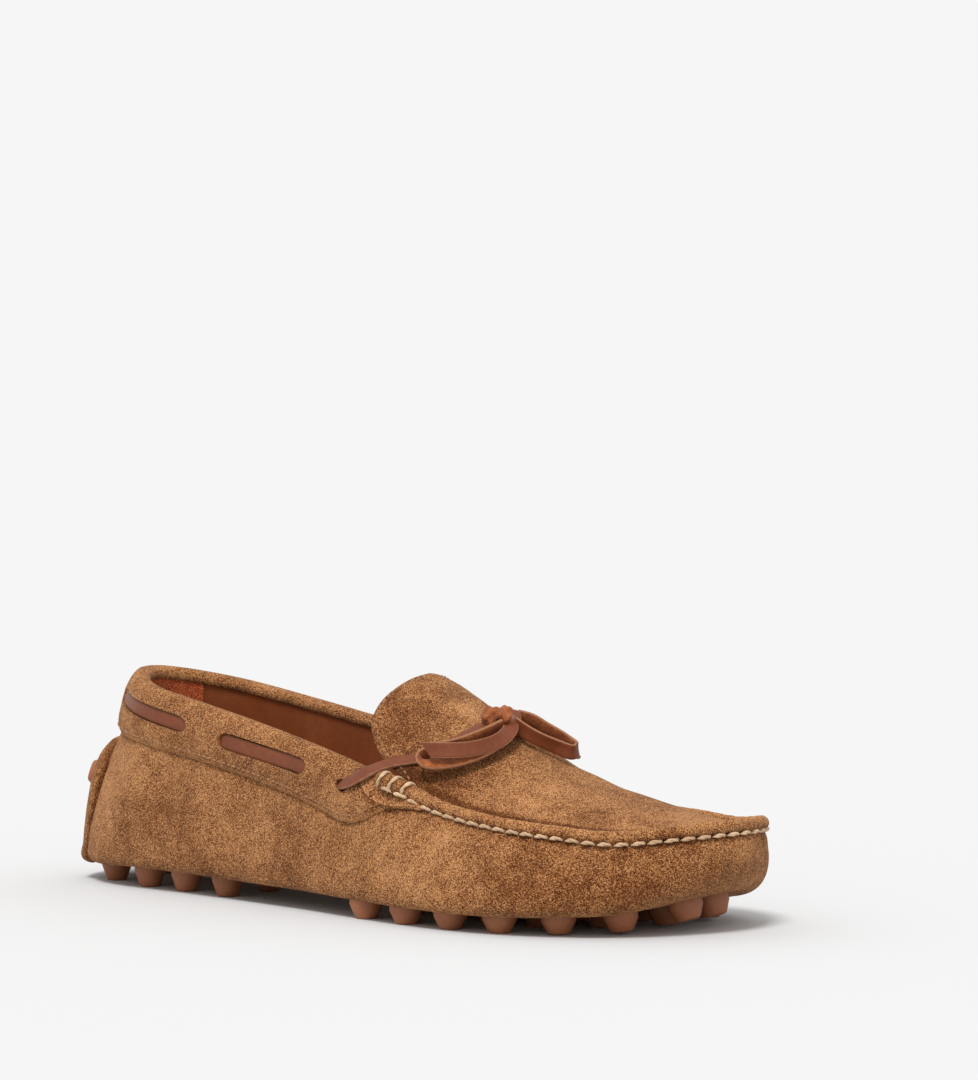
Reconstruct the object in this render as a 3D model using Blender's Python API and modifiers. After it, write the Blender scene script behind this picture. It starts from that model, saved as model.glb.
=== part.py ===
"""A right driving loafer in suede.

A shell drawn up round the foot and under it, an apron in one piece with its tongue, a raised seam between
them, a collar band, a heel patch, a rubber stud sole, an insole and a leather lace tied in a bow.
X runs from heel to toe, Y to the inner (medial) side of the foot and Z up from the floor.
Lengths here are millimetres, and x in the tables is measured from the heel end.
"""

import math

import bmesh
import bpy
import numpy as np

MM = 0.001
GAP = 0.3
HEEL_TO_ORIGIN = 141.38
MIDLINE_TO_ORIGIN = 0.95

# Section table of the last, a row for each section:
# x; centre, half width and height of the flat bottom; height that the inner arch adds to it;
# centre, half width and height of the top line (collar, then apron seam);
# how far the wall bulges at its foot and under its top, and the lean of its top from the vertical in degrees
LAST_COLUMNS = ("x", "bottom_y", "bottom_half", "bottom_z", "arch",
                "top_y", "top_half", "top_z", "low_reach", "high_reach", "lean")
LAST = np.array([
    (28, 0.0, 20.5, 7.6, 0.0, 0.0, 8.5, 73.8, 12.0, 34.0, 17.0),
    (45, -0.5, 26.5, 7.6, 0.0, 0.0, 22.5, 70.0, 9.5, 35.0, 12.0),
    (75, -2.0, 28.5, 7.4, 0.8, 0.0, 27.0, 64.3, 8.0, 32.0, 8.0),
    (105, -4.5, 29.0, 7.0, 2.4, -0.5, 29.0, 58.6, 7.5, 26.0, 8.0),
    (135, -5.0, 32.0, 6.6, 2.6, -1.0, 31.5, 52.4, 8.0, 20.0, 10.0),
    (165, -3.0, 39.5, 6.2, 1.0, -1.0, 34.5, 45.2, 8.0, 16.0, 22.0),
    (190, -0.5, 45.5, 5.9, 0.2, -0.5, 36.7, 36.8, 8.0, 13.0, 36.0),
    (215, 1.5, 46.5, 5.7, 0.0, -0.3, 38.0, 32.4, 9.0, 12.2, 42.0),
    (240, 4.0, 40.0, 6.4, 0.0, 3.0, 37.6, 30.1, 10.0, 11.5, 38.0),
    (258, 6.5, 28.0, 8.6, 0.0, 6.0, 32.2, 28.9, 9.5, 11.0, 30.0),
    (267, 8.0, 15.0, 11.0, 0.0, 8.0, 26.0, 29.9, 8.0, 11.0, 26.0),
])
BOTTOM_ENDS = (11.0, 270.0)
TOP_ENDS = (25.0, 280.4)
SECTIONS = 36
WALL_ROWS = 8
BOTTOM_COLUMNS = 3
WALL_THICK = 2.0

# Height of the apron and tongue over their middle, by x, and how far a rung's middle lies ahead of its ends
RIDGE = np.array([(188, 62.4), (197, 57.8), (205, 53.8), (216, 49.0), (227, 45.2), (237, 42.4),
                  (248, 39.4), (258, 36.9), (266, 34.9), (272, 33.2)])
RUNG_LEAD = np.array([(178, 10.0), (192, 6.5), (204, 4.0), (216, 2.0), (236, 0.5), (270, 0.0)])
APRON_RAISE = 0.9
APRON_LEAST_INSET = 3.0
APRON_THICK = 1.8
APRON_ROUNDNESS = 2.2
APRON_RUNGS = 16
APRON_BACK_X = 181.0
APRON_COLUMNS = 12
# Rungs of the free tongue: x, half width and height of its edge, x and height of its middle
TONGUE = [
    (174.0, 31.0, 46.5, 184.5, 64.2),
    (166.5, 29.5, 50.5, 178.5, 67.2),
    (159.0, 28.5, 56.0, 172.0, 70.6),
    (154.5, 25.0, 62.8, 166.0, 73.8),
    (154.0, 18.5, 69.8, 161.5, 76.0),
    (156.5, 9.5, 75.4, 158.8, 77.2),
    (158.0, 0.0, 77.6, 158.0, 77.6),
]

# Raised seam: distance from its end at the throat, its centre up the wall and out of it, and its half sizes
SEAM_START_X = 170.0
SEAM_ROLL = np.array([(0, 0.4, 2.7, 3.0, 1.9), (6, 0.6, 2.7, 3.0, 1.9), (11, 2.1, 1.6, 2.3, 1.9), (15, 2.4, 0.6, 2.0, 2.0),
                      (26, 2.2, 0.6, 1.9, 1.9), (400, 2.2, 0.6, 1.9, 1.9)])
SEAM_SIDES = 8
SEAM_STATIONS = 36

# Collar band: x, how far it reaches down the wall and down the inside
BAND = np.array([(23, 21.5, 7.0), (45, 19.0, 6.5), (75, 17.4, 6.5), (105, 16.6, 6.0), (135, 16.5, 5.5),
                 (150, 16.2, 5.0), (158, 15.0, 4.5), (166, 12.0, 3.5), (172, 8.8, 2.5), (176, 7.0, 1.5)])
BAND_FRONT_X = 175.6
BAND_STATIONS = 32
BAND_THICK = 1.5
LACE_DROP = 7.6
LACE_WIDE = 5.0
LACE_THICK = 1.2
TUNNEL_LIFT = 2.1
WINDOW_WIDE = 5.6
WINDOW_LIFTS = (0.0, 7.5)
WINDOWS = ((30.0, 68.0), (89.0, 130.0))
LACE_HOLE = (145.0, 157.5)
LACE_HOLE_DROP = 6.6
LACE_HOLE_WIDE = 7.4
# The band's top stops short of the seam's end: x, middle and height of what is cut away, and its depth
SEAM_STEP = (169.2, 182.0)
SEAM_STEP_DROP = (-2.0, 11.0)
SEAM_STEP_LIFTS = (-9.0, 9.0)

# Heel patch: sections of the shell counted from its back line, rise of the patch's foot and top there
PATCH = ((0, 0.11, 0.74), (1, 0.11, 0.74), (2, 0.11, 0.73), (3, 0.115, 0.71), (4, 0.12, 0.66))
PATCH_LIFTS = (4.4, 6.4, 4.4, 3.8, 3.5, 3.3, 2.4)
PATCH_EDGE_SHARE = 0.6
HEEL_STUD_ANGLES = (-0.24, 0.0, 0.24)
HEEL_STUD_Z = 39.0

# Stud sole: rows of studs, each with its x, first and last y and number of studs
STUD_ROWS = [
    (21.0, -14.0, 14.0, 2),
    (45.0, -20.5, 19.5, 3),
    (65.0, -22.0, 19.5, 3),
    (87.0, -24.0, 17.0, 3),
    (164.0, -38.0, 27.0, 4),
    (183.0, -40.0, 36.0, 5),
    (202.0, -40.5, 40.5, 5),
    (219.5, -37.5, 40.5, 5),
    (236.5, -29.5, 36.5, 4),
    (251.0, -17.0, 29.0, 3),
    (262.5, -0.5, 13.5, 2),
]
STUD_RADIUS = 5.5
STUD_END_RADIUS = 3.4
STUD_STRAIGHT = 1.7
STUD_SIDES = 8
STUD_FLOOR_X = 225.0
STUD_FREE_LENGTH = 5.8
PLATE_THICK = 2.0
PLATE_INSET = 1.0
INSOLE_THICK = 2.6
INSOLE_INSET = 0.6

# Lace over the band, from its hole: x, how far down the wall and how far off it
LACE_OVER_BAND = ((152.0, 7.0, 3.0), (158.0, 4.0, 5.2), (164.0, -1.5, 5.2))
# Lace over the tongue to the knot, the knot and the routes of the bow's loops and ends
LACE_TO_KNOT = {
    "lateral": ((169.6, -30.8, 51.2), (177.6, -27.4, 52.5), (185.0, -22.4, 55.6), (189.0, -15.8, 59.4), (190.8, -8.8, 62.0)),
    "medial": ((169.6, 30.8, 51.2), (177.7, 27.8, 52.9), (185.0, 22.4, 56.2), (189.5, 13.5, 60.2), (191.0, 3.0, 62.9)),
}
KNOT_CENTRE = (194.5, -3.8, 63.3)
KNOT_HALF_SIZES = (5.2, 5.8, 3.2)
LOOP_LATERAL = ((196.1, -9.5, 62.7), (193.9, -16.6, 61.2), (189.9, -21.9, 59.3), (185.2, -26.7, 57.9), (181.9, -29.7, 56.1),
                (180.9, -32.1, 54.0), (184.1, -32.5, 52.3), (190.9, -28.8, 51.4), (196.5, -24.4, 53.2), (199.4, -19.8, 55.3),
                (200.4, -13.5, 58.4))
LOOP_LATERAL_FACES = ((-0.75, 0.3, 0.55),) * 4 + ((-0.85, -0.05, 0.4), (-0.9, -0.3, 0.0), (-0.6, 0.2, -0.6)) + (
    (-0.25, 0.65, -0.7),) * 4
END_LATERAL = ((199.7, -7.5, 63.0), (200.3, -16.5, 60.8), (196.0, -23.6, 58.7), (190.0, -28.9, 57.0), (185.3, -31.9, 56.0))
END_LATERAL_FACES = ((0.6, -0.75, 0.2),) * 5
LOOP_MEDIAL = ((199.7, -3.3, 62.3), (204.5, -1.9, 58.9), (209.4, 2.8, 56.2), (213.4, 6.6, 54.3), (212.8, 9.4, 54.9),
               (208.6, 9.2, 57.9), (203.0, 4.8, 62.2), (199.8, 1.8, 64.2))
LOOP_MEDIAL_FACES = ((0.5, -0.8, 0.2),) * 3 + ((0.85, -0.2, 0.3), (0.6, 0.75, 0.2)) + ((-0.4, 0.75, 0.5),) * 3
END_MEDIAL = ((196.5, 0.9, 61.3), (200.5, 9.0, 57.8), (204.0, 14.5, 54.0), (206.5, 20.0, 50.6))
END_MEDIAL_FACES = ((0.38, 0.35, 0.85),) * 4
BOW_POINTS = 16


def smooth(table_x, table_y, x):
    """Cubic curve through a table, straight past its ends."""
    step = np.diff(table_x)
    slope = np.diff(table_y) / step
    middle = (slope[:-1] * step[1:] + slope[1:] * step[:-1]) / (step[:-1] + step[1:])
    tangent = np.concatenate(([1.5 * slope[0] - 0.5 * middle[0]], middle, [1.5 * slope[-1] - 0.5 * middle[-1]]))
    inside = np.clip(x, table_x[0], table_x[-1])
    i = np.clip(np.searchsorted(table_x, inside) - 1, 0, len(step) - 1)
    t = (inside - table_x[i]) / step[i]
    curve = ((2 * t**3 - 3 * t**2 + 1) * table_y[i] + (t**3 - 2 * t**2 + t) * step[i] * tangent[i]
             + (3 * t**2 - 2 * t**3) * table_y[i + 1] + (t**3 - t**2) * step[i] * tangent[i + 1])
    beyond = np.minimum(x - table_x[0], 0) * tangent[0] + np.maximum(x - table_x[-1], 0) * tangent[-1]
    return curve + beyond


def last(name, x):
    return smooth(LAST[:, 0], LAST[:, LAST_COLUMNS.index(name)], np.asarray(x, float))


def angle_at(ends, x):
    """Angle of a section round an outline: 0 at the heel, pi at the toe."""
    return np.arccos(np.clip(1 - 2 * (x - ends[0]) / (ends[1] - ends[0]), -1, 1))


def outline(line, angle):
    """Plan point of the bottom or top outline; negative angles lie on the lateral side."""
    ends = BOTTOM_ENDS if line == "bottom" else TOP_ENDS
    x = ends[0] + (ends[1] - ends[0]) * (1 - np.cos(angle)) / 2
    table_angle = angle_at(ends, LAST[:, 0])
    full = LAST[:, LAST_COLUMNS.index(line + "_half")] / np.sin(table_angle)
    turn = np.clip(np.abs(angle), table_angle[0], table_angle[-1])
    centre = last(line + "_y", np.clip(x, LAST[0, 0], LAST[-1, 0]))
    return x, centre + np.sin(angle) * smooth(table_angle, full, turn)


def wall(angle, rise):
    """Point on the outside of the shell's wall, from its foot (rise 0) to its top line (rise 1)."""
    angle, rise = np.broadcast_arrays(np.asarray(angle, float), np.asarray(rise, float))
    nudge = 0.001
    ahead = np.stack(outline("bottom", angle + nudge))
    behind = np.stack(outline("bottom", angle - nudge))
    along = (ahead - behind) / np.linalg.norm(ahead - behind, axis=0)
    out = np.stack([-along[1], along[0], np.zeros_like(angle)], axis=-1)
    up = np.array([0.0, 0.0, 1.0])
    foot_x, foot_y = outline("bottom", angle)
    top_x, top_y = outline("top", angle)
    foot_z = last("bottom_z", foot_x) + last("arch", foot_x) * np.maximum(np.sin(angle), 0)
    foot = np.stack([foot_x, foot_y, foot_z], axis=-1)
    top = np.stack([top_x, top_y, last("top_z", top_x)], axis=-1)
    lean = np.radians(last("lean", top_x))[..., None]
    low = foot + last("low_reach", foot_x)[..., None] * out
    high = top + last("high_reach", top_x)[..., None] * (np.sin(lean) * out - np.cos(lean) * up)
    t = rise[..., None]
    return (1 - t)**3 * foot + 3 * t * (1 - t)**2 * low + 3 * t**2 * (1 - t) * high + t**3 * top


def unit(vector):
    return vector / np.linalg.norm(vector, axis=-1, keepdims=True)


def wall_directions(angle, rise):
    """Unit vectors up the wall and out of it."""
    nudge = 0.002
    inside = np.clip(rise, nudge, 1 - nudge)
    up = unit(wall(angle, inside + nudge) - wall(angle, inside - nudge))
    along = unit(wall(angle + nudge, inside) - wall(angle - nudge, inside))
    return up, unit(np.cross(up, along))


def on_wall(angle, drop, lift):
    """Point a distance down the wall from its top line, lifted off its outer face."""
    rises = np.linspace(1.0, 0.0, 61)
    line = wall(np.full_like(rises, angle), rises)
    run = np.concatenate(([0.0], np.cumsum(np.linalg.norm(np.diff(line, axis=0), axis=1))))
    rise = float(np.interp(max(drop, 0.0), run, rises))
    up, out = wall_directions(angle, rise)
    return wall(angle, rise) + up * max(-drop, 0.0) + out * lift


def at_height(angle, height, lift):
    """Point on the wall at a height over the floor, lifted off its outer face."""
    rises = np.linspace(0.0, 1.0, 81)
    rise = float(np.interp(height, wall(np.full_like(rises, angle), rises)[:, 2], rises))
    return wall(angle, rise) + wall_directions(angle, rise)[1] * lift


def bottom(x, across, lift):
    """Point over the flat bottom, across from -1 (lateral edge) to 1 (medial edge), lifted off its outer face."""
    angle = angle_at(BOTTOM_ENDS, x)
    slope = math.atan(float(last("bottom_z", x + 1.0) - last("bottom_z", x - 1.0)) / 2.0)
    edges = [float(outline("bottom", side * angle)[1]) for side in (-1, 1)]
    share = (1 + across) / 2
    height = float(last("bottom_z", x) + last("arch", x) * math.sin(angle) * share)
    return np.array([x - math.sin(slope) * lift, edges[0] + (edges[1] - edges[0]) * share,
                     height + math.cos(slope) * lift])


def material(name, colour, roughness):
    made = bpy.data.materials.new(name)
    made.use_nodes = True
    shader = made.node_tree.nodes["Principled BSDF"]
    shader.inputs["Base Color"].default_value = (*colour, 1.0)
    shader.inputs["Roughness"].default_value = roughness
    return made


def new_object(name, mesh, finish, group):
    made = bpy.data.objects.new(name, mesh)
    group.objects.link(made)
    if finish:
        mesh.materials.append(finish)
    else:
        made.hide_render = True
        made.display_type = "WIRE"
    return made


def loft(name, rows, finish, group, closed=False):
    """Surface through rows of points; closed rows make a tube with flat ends."""
    mesh = bpy.data.meshes.new(name)
    net = bmesh.new()
    place = np.array([HEEL_TO_ORIGIN, MIDLINE_TO_ORIGIN, 0.0])
    grid = [[net.verts.new((np.asarray(point) - place) * MM) for point in row] for row in rows]
    count = len(grid[0])
    for row, following in zip(grid, grid[1:]):
        for j in range(count if closed else count - 1):
            k = (j + 1) % count
            net.faces.new((row[j], row[k], following[k], following[j]))
    if closed:
        net.faces.new(list(reversed(grid[0])))
        net.faces.new(grid[-1])
    bmesh.ops.remove_doubles(net, verts=net.verts, dist=0.01 * MM)
    if closed:
        bmesh.ops.recalc_face_normals(net, faces=net.faces)
    net.to_mesh(mesh)
    net.free()
    return new_object(name, mesh, finish, group)


def shell_of(made, thick):
    skin = made.modifiers.new("thickness", "SOLIDIFY")
    skin.thickness = thick * MM
    skin.offset = -1.0
    skin.use_even_offset = True
    skin.use_quality_normals = True


def cut(made, cutter, operation="DIFFERENCE"):
    change = made.modifiers.new(cutter.name, "BOOLEAN")
    change.operation = operation
    change.object = cutter
    change.solver = "EXACT"


def frustums(name, items, group, finish=None):
    """Stack of cone pieces for each item: axis start, axis direction, and (distance, radius) rings along it."""
    mesh = bpy.data.meshes.new(name)
    net = bmesh.new()
    place = np.array([HEEL_TO_ORIGIN, MIDLINE_TO_ORIGIN, 0.0])
    for start, axis, rings in items:
        side = unit(np.cross(axis, (0.0, 1.0, 0.0) if abs(axis[1]) < 0.9 else (1.0, 0.0, 0.0)))
        other = np.cross(axis, side)
        turns = [2 * math.pi * k / STUD_SIDES for k in range(STUD_SIDES)]
        loops = [[net.verts.new((start + axis * run + radius * (math.cos(t) * side + math.sin(t) * other) - place) * MM)
                  for t in turns] for run, radius in rings]
        for ring, following in zip(loops, loops[1:]):
            for j in range(STUD_SIDES):
                k = (j + 1) % STUD_SIDES
                net.faces.new((ring[j], ring[k], following[k], following[j]))
        net.faces.new(list(reversed(loops[0])))
        net.faces.new(loops[-1])
    bmesh.ops.recalc_face_normals(net, faces=net.faces)
    net.to_mesh(mesh)
    net.free()
    return new_object(name, mesh, finish, group)


def ribbon(name, path, faces, wide, thick, finish, group):
    """Flat strip along a path, with the direction that its broad side faces at each point."""
    path = np.asarray(path, float)
    along = unit(np.gradient(path, axis=0))
    across = unit(np.cross(np.asarray(faces, float), along))
    out = np.cross(along, across)
    rows = [[p + a * wide / 2 + o * thick / 2, p - a * wide / 2 + o * thick / 2,
             p - a * wide / 2 - o * thick / 2, p + a * wide / 2 - o * thick / 2]
            for p, a, o in zip(path, across, out)]
    return loft(name, rows, finish, group, closed=True)


def curve_through(points, faces, count):
    """Evenly spaced points on a smooth curve through a few points, with the directions faced there."""
    points, faces = np.asarray(points, float), np.asarray(faces, float)
    run = np.concatenate(([0.0], np.cumsum(np.linalg.norm(np.diff(points, axis=0), axis=1))))
    fine = np.linspace(0.0, run[-1], count)
    path = np.stack([smooth(run, points[:, k], fine) for k in range(3)], axis=-1)
    turned = np.stack([np.interp(fine, run, faces[:, k]) for k in range(3)], axis=-1)
    return path, unit(turned)


def make_upper(finish, parts):
    rises = np.linspace(1.0, 0.0, WALL_ROWS + 1)
    shares = np.linspace(0.0, 1.0, BOTTOM_COLUMNS + 1)[1:-1, None]
    rows = []
    for angle in np.linspace(0.0, math.pi, SECTIONS + 1):
        lateral = wall(np.full_like(rises, -angle), rises)
        medial = wall(np.full_like(rises, angle), rises)[::-1]
        rows.append(np.concatenate([lateral, lateral[-1] + (medial[0] - lateral[-1]) * shares, medial]))
    upper = loft("upper", rows, finish, parts)
    shell_of(upper, WALL_THICK)
    return upper


def seam_roll(angle):
    """Directions up and out of the wall's top, and the centre and half sizes of the seam's roll along them."""
    stations = np.linspace(angle_at(TOP_ENDS, SEAM_START_X), math.pi, 60)
    line = wall(stations, np.ones_like(stations))
    run = np.concatenate(([0.0], np.cumsum(np.linalg.norm(np.diff(line, axis=0), axis=1))))
    from_end = np.interp(abs(angle), stations, run)
    sizes = [float(np.interp(from_end, SEAM_ROLL[:, 0], SEAM_ROLL[:, k])) for k in (1, 2, 3, 4)]
    return *wall_directions(angle, 1.0), *sizes


def apron_edge(angle):
    """Point where the apron meets the inner side of the seam's roll."""
    up, out, centre_up, centre_out, half_up, half_out = seam_roll(angle)
    up_plan, out_plan = math.hypot(up[0], up[1]), math.hypot(out[0], out[1])
    reach = math.hypot(half_out * out_plan, half_up * up_plan)
    inset = up_plan * centre_up - out_plan * centre_out + reach + GAP
    inward = -unit(np.array([out[0], out[1], 0.0]))
    return wall(angle, 1.0) + inward * max(inset, APRON_LEAST_INSET) + np.array([0.0, 0.0, APRON_RAISE])


def make_apron(finish, parts):
    spread = np.linspace(-1.0, 1.0, APRON_COLUMNS + 1)
    dome = 1 - np.abs(spread)**APRON_ROUNDNESS
    rows = []
    for angle in np.linspace(math.pi, angle_at(TOP_ENDS, APRON_BACK_X), APRON_RUNGS + 1):
        lateral = apron_edge(-angle)
        medial = apron_edge(angle)
        rung = lateral + (medial - lateral) * (1 + spread[:, None]) / 2
        middle_x = (lateral[0] + medial[0]) / 2
        lead = smooth(RUNG_LEAD[:, 0], RUNG_LEAD[:, 1], middle_x)
        crown = max(smooth(RIDGE[:, 0], RIDGE[:, 1], middle_x + lead) - (lateral[2] + medial[2]) / 2, 0.0)
        rung[:, 0] += lead * dome
        rung[:, 2] += crown * dome
        rows.append(rung)
    for edge_x, half, edge_z, middle_x, middle_z in TONGUE:
        rows.append(np.stack([edge_x + (middle_x - edge_x) * dome, half * spread,
                              edge_z + (middle_z - edge_z) * dome], axis=-1))
    apron = loft("apron_tongue", rows, finish, parts)
    shell_of(apron, APRON_THICK)
    return apron


def make_seam(finish, parts):
    start = float(angle_at(TOP_ENDS, SEAM_START_X))
    stations = np.linspace(start, math.pi, SEAM_STATIONS // 2 + 1)
    turns = np.linspace(0, 2 * math.pi, SEAM_SIDES, endpoint=False)
    rows = []
    for angle in np.concatenate([-stations, stations[-2::-1]]):
        up, out, centre_up, centre_out, half_up, half_out = seam_roll(angle)
        centre = wall(angle, 1.0) + up * centre_up + out * centre_out
        rows.append([centre + out * half_out * math.cos(t) + up * half_up * math.sin(t) for t in turns])
    return loft("apron_seam", rows, finish, parts, closed=True)


def band_section(angle, x):
    """Hook-shaped section of the collar band round the shell's top edge."""
    down = float(smooth(BAND[:, 0], BAND[:, 1], np.array(x)))
    inner = float(smooth(BAND[:, 0], BAND[:, 2], np.array(x)))
    tunnel = (LACE_DROP - LACE_WIDE / 2 - 0.6, LACE_DROP + LACE_WIDE / 2 + 0.6)
    lift = TUNNEL_LIFT if down > tunnel[1] + 2.0 else GAP + (TUNNEL_LIFT - GAP) * max(0.0, (down - 6.0) / 6.0)
    tunnel = tuple(min(d, down * share) for d, share in zip(tunnel, (0.45, 0.8)))
    outer = [(down, GAP + BAND_THICK * 0.7), (tunnel[1], lift + BAND_THICK), (tunnel[0], lift + BAND_THICK),
             (0.0, 2.4), (-1.6, 1.5), (-2.2, -0.8), (-1.6, -3.2), (0.3, -WALL_THICK - 2.0),
             (inner, -WALL_THICK - GAP - 1.3)]
    back = [(inner, -WALL_THICK - GAP), (-GAP, -WALL_THICK - GAP), (-GAP, GAP), (1.6, GAP),
            (tunnel[0], lift), (tunnel[1], lift), (down, GAP)]
    return [on_wall(angle, drop, lift_off) for drop, lift_off in outer + back]


def wall_slot(name, x_ends, side, drop, wide, lifts, group, round_ends=True):
    """Cutter that follows the wall from one x to another on one side of the shoe."""
    first, final = [side * float(angle_at(TOP_ENDS, x)) for x in x_ends]
    rows = []
    for share in (0.0, 0.03, 0.08, 0.2, 0.35, 0.5, 0.65, 0.8, 0.92, 0.97, 1.0):
        angle = first + (final - first) * share
        near_end = min(1.0, min(share, 1 - share) / 0.08)
        half = wide / 2 * (0.45 + 0.55 * math.sqrt(near_end) if round_ends else 1.0)
        rows.append([on_wall(angle, drop - half, lifts[0]), on_wall(angle, drop + half, lifts[0]),
                     on_wall(angle, drop + half, lifts[1]), on_wall(angle, drop - half, lifts[1])])
    return loft(name, rows, None, group, closed=True)


def make_band(finish, parts, cutters):
    front = float(angle_at(TOP_ENDS, BAND_FRONT_X))
    rows = []
    for angle in np.linspace(-front, front, BAND_STATIONS + 1):
        rows.append(band_section(float(angle), float(outline("top", angle)[0])))
    band = loft("collar_band", rows, finish, parts, closed=True)
    for side, name in ((-1, "lateral"), (1, "medial")):
        for number, ends in enumerate(WINDOWS, 1):
            cut(band, wall_slot(f"window_{name}_{number}", ends, side, LACE_DROP, WINDOW_WIDE, WINDOW_LIFTS, cutters))
        cut(band, wall_slot(f"lace_hole_{name}", LACE_HOLE, side, LACE_HOLE_DROP, LACE_HOLE_WIDE, WINDOW_LIFTS, cutters))
        cut(band, wall_slot(f"seam_end_{name}", SEAM_STEP, side, *SEAM_STEP_DROP, SEAM_STEP_LIFTS, cutters, False))
    return band


def make_heel_patch(finish, rubber, parts, cutters):
    rows = []
    for step, foot, top in [(-row[0], *row[1:]) for row in PATCH[:0:-1]] + list(PATCH):
        angle = step * math.pi / SECTIONS
        rises = np.concatenate(([foot], np.arange(1, 6) / WALL_ROWS, [top]))
        share = PATCH_EDGE_SHARE if abs(step) == PATCH[-1][0] else 1.0
        inner = [wall(angle, r) + wall_directions(angle, r)[1] * GAP for r in rises]
        outer = [wall(angle, r) + wall_directions(angle, r)[1] * (GAP + lift * share)
                 for r, lift in zip(rises, PATCH_LIFTS)]
        rows.append(inner + outer[::-1])
    patch = loft("heel_patch", rows, finish, parts, closed=True)
    for number, angle in enumerate(HEEL_STUD_ANGLES, 1):
        start = at_height(angle, HEEL_STUD_Z, 0.0)
        axis = unit(at_height(angle, HEEL_STUD_Z, 1.0) - start)
        frustums(f"heel_stud_{number}", [(start, axis, [(GAP, 5.0), (4.6, 5.0), (7.6, STUD_END_RADIUS)])], parts, rubber)
        cut(patch, frustums(f"heel_stud_hole_{number}", [(start, axis, [(-1.0, 5.3), (9.0, 5.3)])], cutters))


def stud_places():
    for x, first, final, count in STUD_ROWS:
        for y in np.linspace(first, final, count):
            edges = [bottom(x, side, 0.0)[1] for side in (-1, 1)]
            across = 2 * (y - edges[0]) / (edges[1] - edges[0]) - 1
            start = bottom(x, across, 0.0)
            if x < STUD_FLOOR_X:
                yield start, np.array([0.0, 0.0, -1.0]), start[2]
            else:
                yield start, unit(start - bottom(x, across, 1.0)), STUD_FREE_LENGTH


def bottom_layer(name, low, thick, inset, skipped, finish, parts):
    """Flat layer over the shell's bottom, from heel to toe."""
    rows = []
    for angle in np.linspace(0.0, math.pi, SECTIONS + 1)[skipped:-skipped]:
        x, edge = outline("bottom", angle)
        share = 1 - 2 * inset / float(edge - outline("bottom", -angle)[1])
        columns = np.linspace(-share, share, BOTTOM_COLUMNS + 1)
        rows.append([bottom(float(x), across, low) for across in columns]
                    + [bottom(float(x), across, low + thick) for across in columns[::-1]])
    return loft(name, rows, finish, parts, closed=True)


def make_sole(rubber, parts, cutters, upper):
    low = WALL_THICK + GAP
    sole = bottom_layer("stud_sole", low, PLATE_THICK, PLATE_INSET, 3, rubber, parts)
    places = list(stud_places())
    studs = [(start, axis, [(-low - PLATE_THICK / 2, STUD_RADIUS), (STUD_STRAIGHT, STUD_RADIUS), (length, STUD_END_RADIUS)])
             for start, axis, length in places]
    cut(sole, frustums("studs", studs, cutters), "UNION")
    holes = [(start, axis, [(-low - PLATE_THICK - 2.0, STUD_RADIUS + GAP), (4.0, STUD_RADIUS + GAP)])
             for start, axis, length in places]
    cut(upper, frustums("stud_holes", holes, cutters))


def make_insole(finish, parts):
    bottom_layer("insole", WALL_THICK + PLATE_THICK + 2 * GAP, INSOLE_THICK, INSOLE_INSET, 2, finish, parts)


def lace_front(side, name, start, start_face):
    """Path and facing of the lace from the end of its tunnel, over the band and the tongue, to the knot."""
    points = [start]
    faces = [start_face]
    for x, drop, lift in LACE_OVER_BAND:
        angle = side * float(angle_at(TOP_ENDS, x))
        points.append(on_wall(angle, drop, lift))
        faces.append(unit(on_wall(angle, drop, 1.0) - on_wall(angle, drop, 0.0) + np.array([0.0, 0.0, 0.4])))
    for point in LACE_TO_KNOT[name]:
        points.append(np.array(point))
        faces.append(unit(np.array([0.3, side * 0.75, 0.9])))
    return curve_through(points, faces, 20)


def make_lace_run(leather, parts):
    tunnel_end = float(angle_at(TOP_ENDS, LACE_HOLE[0]))
    around = np.linspace(-tunnel_end, tunnel_end, 29)
    path = np.array([on_wall(a, LACE_DROP, GAP + LACE_THICK / 2 + 0.1) for a in around])
    faces = np.array([on_wall(a, LACE_DROP, 1.0) - on_wall(a, LACE_DROP, 0.0) for a in around])
    lateral = lace_front(-1, "lateral", path[0], faces[0])
    medial = lace_front(1, "medial", path[-1], faces[-1])
    path = np.concatenate([lateral[0][:0:-1], path, medial[0][1:]])
    faces = np.concatenate([lateral[1][:0:-1], faces, medial[1][1:]])
    ribbon("lace_run", path, faces, LACE_WIDE, LACE_THICK, leather, parts)


def make_bow(leather, parts):
    knot = bpy.data.meshes.new("lace_knot")
    net = bmesh.new()
    bmesh.ops.create_icosphere(net, subdivisions=2, radius=1.0)
    place = np.array(KNOT_CENTRE) - np.array([HEEL_TO_ORIGIN, MIDLINE_TO_ORIGIN, 0.0])
    for corner in net.verts:
        corner.co = (np.array(corner.co) * KNOT_HALF_SIZES + place) * MM
    net.to_mesh(knot)
    net.free()
    new_object("lace_knot", knot, leather, parts)
    for name, route, faces in (("lace_loop_lateral", LOOP_LATERAL, LOOP_LATERAL_FACES),
                               ("lace_end_lateral", END_LATERAL, END_LATERAL_FACES),
                               ("lace_loop_medial", LOOP_MEDIAL, LOOP_MEDIAL_FACES),
                               ("lace_end_medial", END_MEDIAL, END_MEDIAL_FACES)):
        ribbon(name, *curve_through(route, faces, BOW_POINTS), LACE_WIDE, LACE_THICK, leather, parts)


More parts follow.
